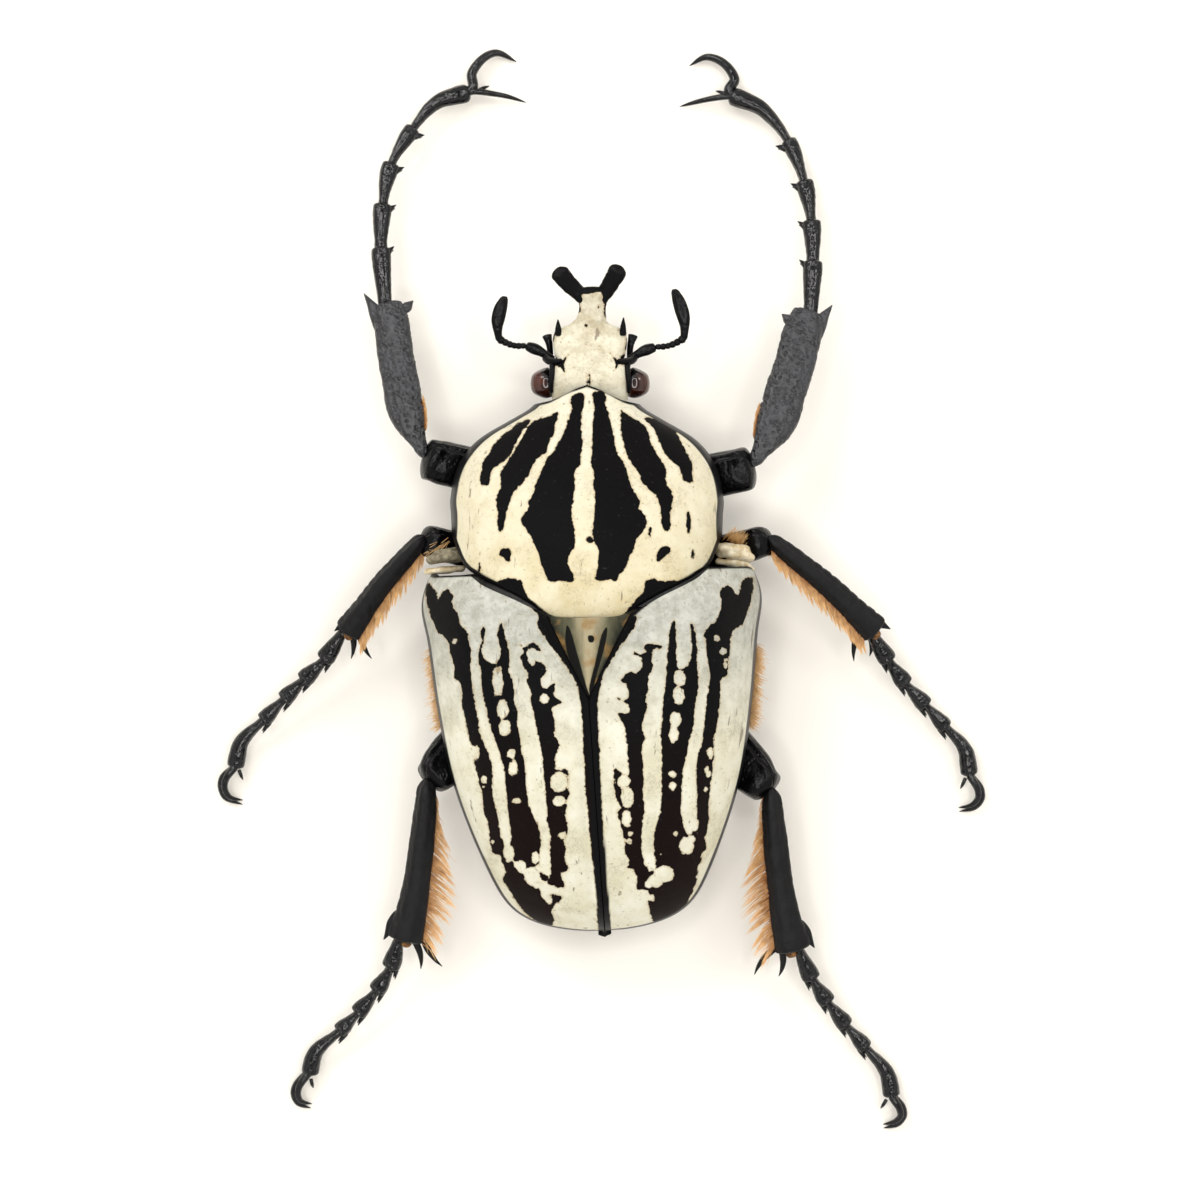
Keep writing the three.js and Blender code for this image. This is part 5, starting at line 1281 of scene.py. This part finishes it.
            # the brown skin that shows in the joint of shin and foot
            spot = ankle + along * 0.25 - out * 0.3 + (0, 0, -0.1)
            skin = limb(f"{leg['name']}_joint_skin", [spot - out * 0.7, spot + along * 0.1, spot + out * 0.6],
                        [(0, 0.3, 0.35), (0.5, 0.42, 0.5), (1, 0.3, 0.35)], sides=18, rings=20, ends=(0.3, 0.3),
                        detail=wrinkled)
            dress(skin, "skin", "black_cuticle")
        dress(join(f"{leg['name']}_shin", parts), "shin" if front else "dull", "black_cuticle",
              f"{leg['name']}_tibia")

    def foot(self, leg, pair, line, ends):
        joints = line[[0, 1, 2, 3, 4, 6], 0]
        outward = np.sign(leg["ankle"][0])
        front = pair == "front"
        parts = []
        waists = (0.86, 0.77, 0.6, 0.54) if front else (0.62, 0.56, 0.52, 0.48)
        tops = (1.17, 1.13, 1.08, 0.98) if front else (1.12, 1.08, 1.04, 0.98)
        # the two thorns of a joint: height, reach inwards, reach past its end, thickness
        thorns = [(0.1, 1.05, 1.1, 0.42), (-0.4, 0.75, 1.0, 0.34)]
        if front:
            thorns = [(0.1, 1.62, -0.05, 0.5), (-0.3, 1.5, -0.5, 0.4)]
        for i in range(5):
            first, last = joints[i] - (0.02 if i else 0), joints[i + 1] + 0.006
            points = smooth(np.linspace(max(first, 0), min(last, 1), 6), line)
            if i == 0:
                points = np.vstack([points[0] - unit(points[1] - points[0]) * 1.1, points])
            if i < 4:
                waist, top = waists[i], tops[i]
                girth = [(0, waist, 0.5), (0.25, waist * 1.02, 0.56), (0.5, (waist + top) / 2, 0.68),
                         (0.75, top * 0.98, 0.8), (0.92, top, 0.82), (1, top * 0.88, 0.7)]
            else:
                girth = [(0, 0.5, 0.5), (0.15, 0.54, 0.56), (0.4, 0.76, 0.68), (0.7, 1.0, 0.8),
                         (0.88, 1.14 if front else 1.06, 0.84), (1, 1.0, 0.7)]

            def detail(place, normal, t, angle):
                crease = bell(t - 0.86, 0.03) * np.clip(np.sin(angle), 0, 1)
                ridge = 0.05 * np.cos(3 * angle + 1)
                return place + normal * (0.035 * rough(place, 0.45, 15) + ridge - 0.07 * crease)[:, None]

            parts.append(limb("joint", points, girth, sides=32, rings=44, power=2.3, ends=(0.05, 0.06),
                              detail=detail))
            if i == 4:
                continue
            end, along = points[-1], unit(points[-1] - points[-2])
            inner = unit(np.cross(along, UP))
            outer = inner[0] * outward > 0
            if front:
                inner = inner * (outward if outer and along[1] <= 0 else -outward)
            elif outer:
                inner = -inner
            # the knob over the next joint, on the outer side, and the thorns of the inner corner
            spot = end - along * 0.55 - inner * 0.22 + (0, 0, 0.28)
            parts.append(limb("knob", [spot - along * 0.5, spot, spot + along * 0.62],
                              [(0, 0.3, 0.35), (0.5, 0.62, 0.62), (1, 0.4, 0.4)], sides=18, rings=18,
                              ends=(0.45, 0.45)))
            for rise, side_reach, past, thick in thorns:
                root = end - along * (1.1 if front else 0.8) + inner * (0.6 if front else 0.62) + (0, 0, rise)
                tip = end + along * past + inner * side_reach + (0, 0, rise - 0.35)
                parts.append(limb("thorn", [root, (root + tip) / 2 + along * 0.06, tip],
                                  [(0, thick, 0.36), (0.5, thick * 0.66, 0.26), (1, 0.03, 0.03)], sides=14, rings=18,
                                  ends=(0.25, 0.02)))
        dress(join(f"{leg['name']}_foot", parts), "foot", "black_cuticle", f"{leg['name']}_tarsus")

    def claws(self, leg, size, root):
        thick, level = size["claw"], root[2]
        front = size is LEG_SIZES["front"]
        before = unit(np.array((*(np.array(leg["foot"][6]) - leg["foot"][5]), 0)))
        parts = []
        for k, plan in enumerate(leg["claws"]):
            top = level + (0.5 if front else 0.45) * k
            heights = np.linspace(top, 0.3 + 0.3 * k, len(plan)) + np.sin(np.linspace(0, ARCH, len(plan))) * 0.35
            path = [root - before * 0.6 + (0, 0, 0.1 * k)] + [(x, y, z) for (x, y), z in zip(plan, heights)]
            w = thick * (0.62 if k and front else 1)
            girth = [(0, w * 0.95, w), (0.2, w * 0.95, w), (0.45, w * 0.84, w * 0.9), (0.7, w * 0.68, w * 0.75),
                     (0.88, w * 0.4, w * 0.45), (1, 0.03, 0.03)]
            parts.append(limb("claw", path, girth, sides=24, rings=70, ends=(0.06, 0.02), detail=stay_above(0)))
        a, b = leg["spine"]
        parts.append(limb("spine", [(*a, level + 0.1), ((a[0] + b[0]) / 2, (a[1] + b[1]) / 2, level),
                                    (*b, level - 0.5)], [(0, 0.24, 0.22), (0.6, 0.2, 0.18), (1, 0.05, 0.05)],
                          sides=14, rings=20))
        dress(join(f"{leg['name']}_hooks", parts), "foot", "black_cuticle", f"{leg['name']}_claws")


def shin_ways(knee, ankle):
    """The directions along a shin and out from the body."""
    along = unit(ankle - knee)
    out = unit(np.cross(along, UP))
    return along, out * np.sign(out[0] * knee[0])


def foot_line(leg, size):
    """The line of a foot, as (share, x, y, z) knots, and its points."""
    points = np.array([(x, y, z) for (x, y), z in zip(leg["foot"], size["levels"])])
    lengths = np.r_[0, np.cumsum(np.linalg.norm(np.diff(points, axis=0), axis=1))]
    return np.c_[lengths / lengths[-1], points], points


class BEETLE_OT_hairs(bpy.types.Operator):
    """Builds the orange fringes of the legs and the tufts at the body's sides"""

    bl_idname = "beetle.hairs"
    bl_label = "Hairs"

    def execute(self, context):
        self.width = context.scene.beetle.hair_width / MM
        longest = context.scene.beetle.hair_length / MM
        for k, leg in enumerate(LEGS):
            name = leg["name"]
            if name.startswith("hind"):
                lean = [(0.1, 1.6), (0.35, 0.8), (0.55, 0.5), (0.75, 0.55), (0.97, 1.1)]
                self.fringe(f"{name}_under_fringe", leg, (0.22, 0.95), 22, 12, [(0.2, 0.6), (0.5, 1.4), (1, 1.5)],
                            lean, 0.35, k)
                self.fringe(f"{name}_long_fringe", leg, (0.2, 0.96), 13, 20,
                            [(0.15, longest * 0.5), (0.35, longest * 0.9), (0.55, longest), (0.8, longest * 0.92),
                             (1, longest * 0.78)], lean, 0.11, 10 + k)
                self.fringe(f"{name}_fine_fringe", leg, (0.16, 0.97), 30, 3,
                            [(0.15, longest * 0.4), (0.4, longest * 0.8), (1, longest * 0.8)], lean, 0.5, 30 + k)
                self.fringe(f"{name}_loose_hairs", leg, (0.05, 0.25), 4, 9, [(0, 2.0), (0.25, 3.0)],
                            [(0, 3.0), (0.25, 1.8)], 0.2, 20 + k)
            elif name.startswith("middle"):
                lean = [(0, 1.2), (1, 1.0)]
                self.fringe(f"{name}_under_fringe", leg, (0.03, 0.96), 34, 30, [(0, 1.2), (0.4, 1.7), (1, 1.5)], lean,
                            0.3, k)
                self.fringe(f"{name}_long_fringe", leg, (0.04, 0.98), 30, 28,
                            [(0, longest * 0.5), (0.4, longest * 0.66), (1, longest * 0.58)], lean, 0.1, 10 + k)
            else:
                self.fringe(f"{name}_short_fringe", leg, (0.16, 0.34), 14, 22, [(0, 0.5), (0.25, 1.1), (0.4, 0.9)],
                            [(0, 2.4), (1, 2.4)], 0.12, k)
        # golden tufts of the body's sides, by the middle hips and in the joints of the middle legs
        tufts = (
            ("left_side", [(-18.0, -5.6, 9.6), (-17.0, -14.8, 9.0)], (-1.3, -0.9, -0.2), 700),
            ("right_side", [(19.9, -5.4, 9.6), (19.0, -14.6, 9.0)], (1.3, -0.9, -0.2), 800),
            ("left_hip", [(-16.4, 7.0, 12.6), (-18.2, 6.2, 12.4)], (-1.2, -1.1, 0.3), 70),
            ("right_hip", [(16.4, 7.4, 12.6), (18.4, 6.4, 12.4)], (0.9, 1.3, 0.3), 90),
        )
        for k, (name, line, way, count) in enumerate(tufts):
            rng = np.random.default_rng(40 + k)
            share = rng.uniform(0, 1, count)
            line = np.array(line)
            roots = line[0] + (line[1] - line[0]) * share[:, None] + rng.normal(0, 0.22, (count, 3))
            tips = roots + np.array(way) * rng.uniform(0.6, 1.15, (count, 1)) + rng.normal(0, 0.3, (count, 3))
            self.strands(f"{name}_tuft", roots, tips, np.array((0, 0, 0.15)), np.c_[share, rng.uniform(0, 1, count)],
                         "gold")
        return {"FINISHED"}

    def fringe(self, name, leg, span, tufts, hairs, reach, lean, spread, seed):
        """Hairs in pointed locks along the inner side of a shin; reach and lean are (share, value) knots."""
        rng = np.random.default_rng(seed + 1)
        knee, ankle = np.array(leg["knee"]), np.array(leg["ankle"])
        along, out = shin_ways(knee, ankle)
        rows = np.array(SHINS[leg["name"].split("_")[0]])
        first, last = span
        roots, tips, shares = [], [], []
        for k in range(tufts):
            middle = first + (last - first) * (k + 0.5 + rng.normal(0, 0.12)) / tufts
            length = smooth(middle, reach) * rng.uniform(0.88, 1.1)
            way = unit(along * smooth(middle, lean) * rng.uniform(0.88, 1.12) - out * 0.85)
            shift, wide = smooth(np.array([middle]), np.c_[rows[:, 0], rows[:, 1], rows[:, 2] * leg["spread"]])[0]
            base = knee + (ankle - knee) * middle + out * (shift - wide * 0.93)
            tip = base + way * length + (0, 0, rng.uniform(-1.0, 0.1))
            for _ in range(hairs):
                step = rng.normal(0, 0.32) * (last - first) / tufts
                root = base + (ankle - knee) * step + (0, 0, rng.uniform(-0.8, 0.35))
                end = tip + (ankle - knee) * step * 0.25 + rng.normal(0, spread, 3) * (0.6, 0.6, 0.3)
                roots.append(root)
                tips.append(root + (end - root) * rng.uniform(0.7, 1.03))
                shares.append((middle + step, rng.uniform(0, 1)))
        self.strands(name, np.array(roots), np.array(tips), -out * 0.12 - along * 0.1, np.array(shares), "orange")

    def strands(self, name, roots, tips, bow, unwrap, key, sides=3, steps=6):
        """Tapered closed hairs; each has a patch of the map at its root's place."""
        count = len(roots)
        t = (np.arange(steps) / steps)[None, :, None]
        arch = np.broadcast_to(bow, roots.shape)[:, None] * (4 * t * (1 - t))
        line = roots[:, None] * (1 - t) + tips[:, None] * t + arch
        way = unit(tips - roots)
        one = unit(np.cross(way, (0.3, 0.2, 1.0)))
        two = np.cross(way, one)
        angle = np.arange(sides) * 2 * np.pi / sides
        ring = one[:, None] * np.cos(angle)[None, :, None] + two[:, None] * np.sin(angle)[None, :, None]
        thick = self.width / 2 * (1 - 0.75 * t[..., 0])
        rings = line[:, :, None] + ring[:, None] * thick[:, :, None, None]
        each = steps * sides + 1
        verts = np.concatenate([rings.reshape(count, -1, 3), tips[:, None]], axis=1).reshape(-1, 3)
        verts[:, 2] = np.maximum(verts[:, 2], 0.05)
        faces = [tuple(range(sides))[::-1]]
        for r in range(steps - 1):
            for s in range(sides):
                n = (s + 1) % sides
                faces.append((r * sides + s, r * sides + n, (r + 1) * sides + n, (r + 1) * sides + s))
        top = (steps - 1) * sides
        faces += [(top + s, top + (s + 1) % sides, steps * sides) for s in range(sides)]
        mesh = bpy.data.meshes.new(name)
        mesh.from_pydata((verts * MM).tolist(), [],
                         [tuple(i + k * each for i in f) for k in range(count) for f in faces])
        piece = bpy.data.objects.new(name, mesh)
        bpy.context.scene.collection.objects.link(piece)
        store(piece, "along", np.tile(np.r_[np.repeat(np.arange(steps) / steps, sides), 1.0], count))
        layer = mesh.uv_layers.new(name="OFBake")
        index = np.empty(len(mesh.loops), int)
        mesh.loops.foreach_get("vertex_index", index)
        local = index % each
        patch = 0.003  # each hair's part of the map
        spot = np.clip(unwrap[index // each], 0, 1 - patch)
        within = np.c_[(local % sides) / sides, local / each]
        layer.data.foreach_set("uv", (spot + within * patch).astype(np.float32).ravel())
        dress(piece, key, "setae")


class BEETLE_OT_stage(bpy.types.Operator):
    """Sets the pale ground, the soft light and the camera straight above"""

    bl_idname = "beetle.stage"
    bl_label = "Ground, light and camera"

    def execute(self, context):
        scene = context.scene
        bpy.ops.object.select_all(action="DESELECT")
        bpy.ops.mesh.primitive_plane_add(size=3)
        ground = context.object
        ground.name = ground.data.name = "ground"
        card, _, shader, _ = begin("smooth_white_card", Roughness=0.8, IOR=1.45)
        shader.inputs["Base Color"].default_value = (*scene.beetle.ground, 1)
        ground.data.materials.append(card)
        world = bpy.data.worlds.new("soft_room")
        world.use_nodes = True
        scene.world = world
        tree = world.node_tree
        # a light tent: an even wall, a bright ring lamp round the lens, and the dark lens in its middle
        way = add(tree, "ShaderNodeTexCoord").outputs["Generated"]
        height = add(tree, "ShaderNodeSeparateXYZ", {0: way}).outputs["Z"]
        wall = add(tree, "ShaderNodeMapRange", {0: height, 1: 0.74, 2: 0.84, 3: 1.0, 4: 0.2})
        low = add(tree, "ShaderNodeMapRange", {0: height, 1: 0.0, 2: 0.5, 3: -0.5, 4: 0})
        wall = add(tree, "ShaderNodeMath", {0: wall.outputs[0], 1: low.outputs[0]}, operation="ADD")
        inside = add(tree, "ShaderNodeMapRange", {0: height, 1: 0.932, 2: 0.944, 3: 0, 4: 9.5})
        outside = add(tree, "ShaderNodeMapRange", {0: height, 1: 0.964, 2: 0.972, 3: 1, 4: 0})
        ring = add(tree, "ShaderNodeMath", {0: inside.outputs[0], 1: outside.outputs[0]}, operation="MULTIPLY")
        total = add(tree, "ShaderNodeMath", {0: wall.outputs[0], 1: ring.outputs[0]}, operation="ADD")
        tree.nodes["Background"].inputs[0].default_value = linear("#FFFDFA")
        tree.links.new(total.outputs[0], tree.nodes["Background"].inputs[1])
        for name, spot, size, power in (("window", (-0.3, 0.4, 0.5), 0.3, 1.6),
                                        ("lamp", (0.42, 0.2, 0.5), 0.15, 0.5)):
            light = bpy.data.objects.new(name, bpy.data.lights.new(name, "AREA"))
            light.data.size = size
            light.data.energy = power
            light.location = spot
            light.rotation_euler = mathutils.Vector(spot).to_track_quat("Z", "Y").to_euler()
            scene.collection.objects.link(light)
        camera = bpy.data.objects.new("camera", bpy.data.cameras.new("camera"))
        sensor = 36
        camera.data.sensor_width = sensor
        camera.data.lens = sensor * EYE_HEIGHT / (SHEET_MM * 2 * SHEET_MIDDLE)
        camera.data.clip_start = 0.01
        camera.location = (VIEW_X * MM, 0, EYE_HEIGHT * MM)
        scene.collection.objects.link(camera)
        scene.camera = camera
        scene.view_settings.view_transform = "Standard"
        return {"FINISHED"}


STEPS = (BEETLE_OT_stage, BEETLE_OT_trunk, BEETLE_OT_pronotum, BEETLE_OT_wing_cases, BEETLE_OT_head, BEETLE_OT_legs,
         BEETLE_OT_hairs)


class BEETLE_PT_panel(bpy.types.Panel):
    """Lists the beetle's pieces and sizes"""

    bl_idname = "BEETLE_PT_panel"
    bl_label = "Goliath beetle"
    bl_space_type = "VIEW_3D"
    bl_region_type = "UI"
    bl_category = "Beetle"

    def draw(self, context):
        for key in BEETLE_PG_settings.__annotations__:
            self.layout.prop(context.scene.beetle, key)
        for step in STEPS:
            self.layout.operator(step.bl_idname)


CLASSES = (BEETLE_PG_settings, *STEPS, BEETLE_PT_panel)


def register():
    for made in CLASSES:
        bpy.utils.register_class(made)
    bpy.types.Scene.beetle = PointerProperty(type=BEETLE_PG_settings)


def unregister():
    del bpy.types.Scene.beetle
    for made in reversed(CLASSES):
        bpy.utils.unregister_class(made)


def main():
    register()
    for step in STEPS:
        family, name = step.bl_idname.split(".")
        getattr(getattr(bpy.ops, family), name)()


if __name__ == "__main__":
    main()
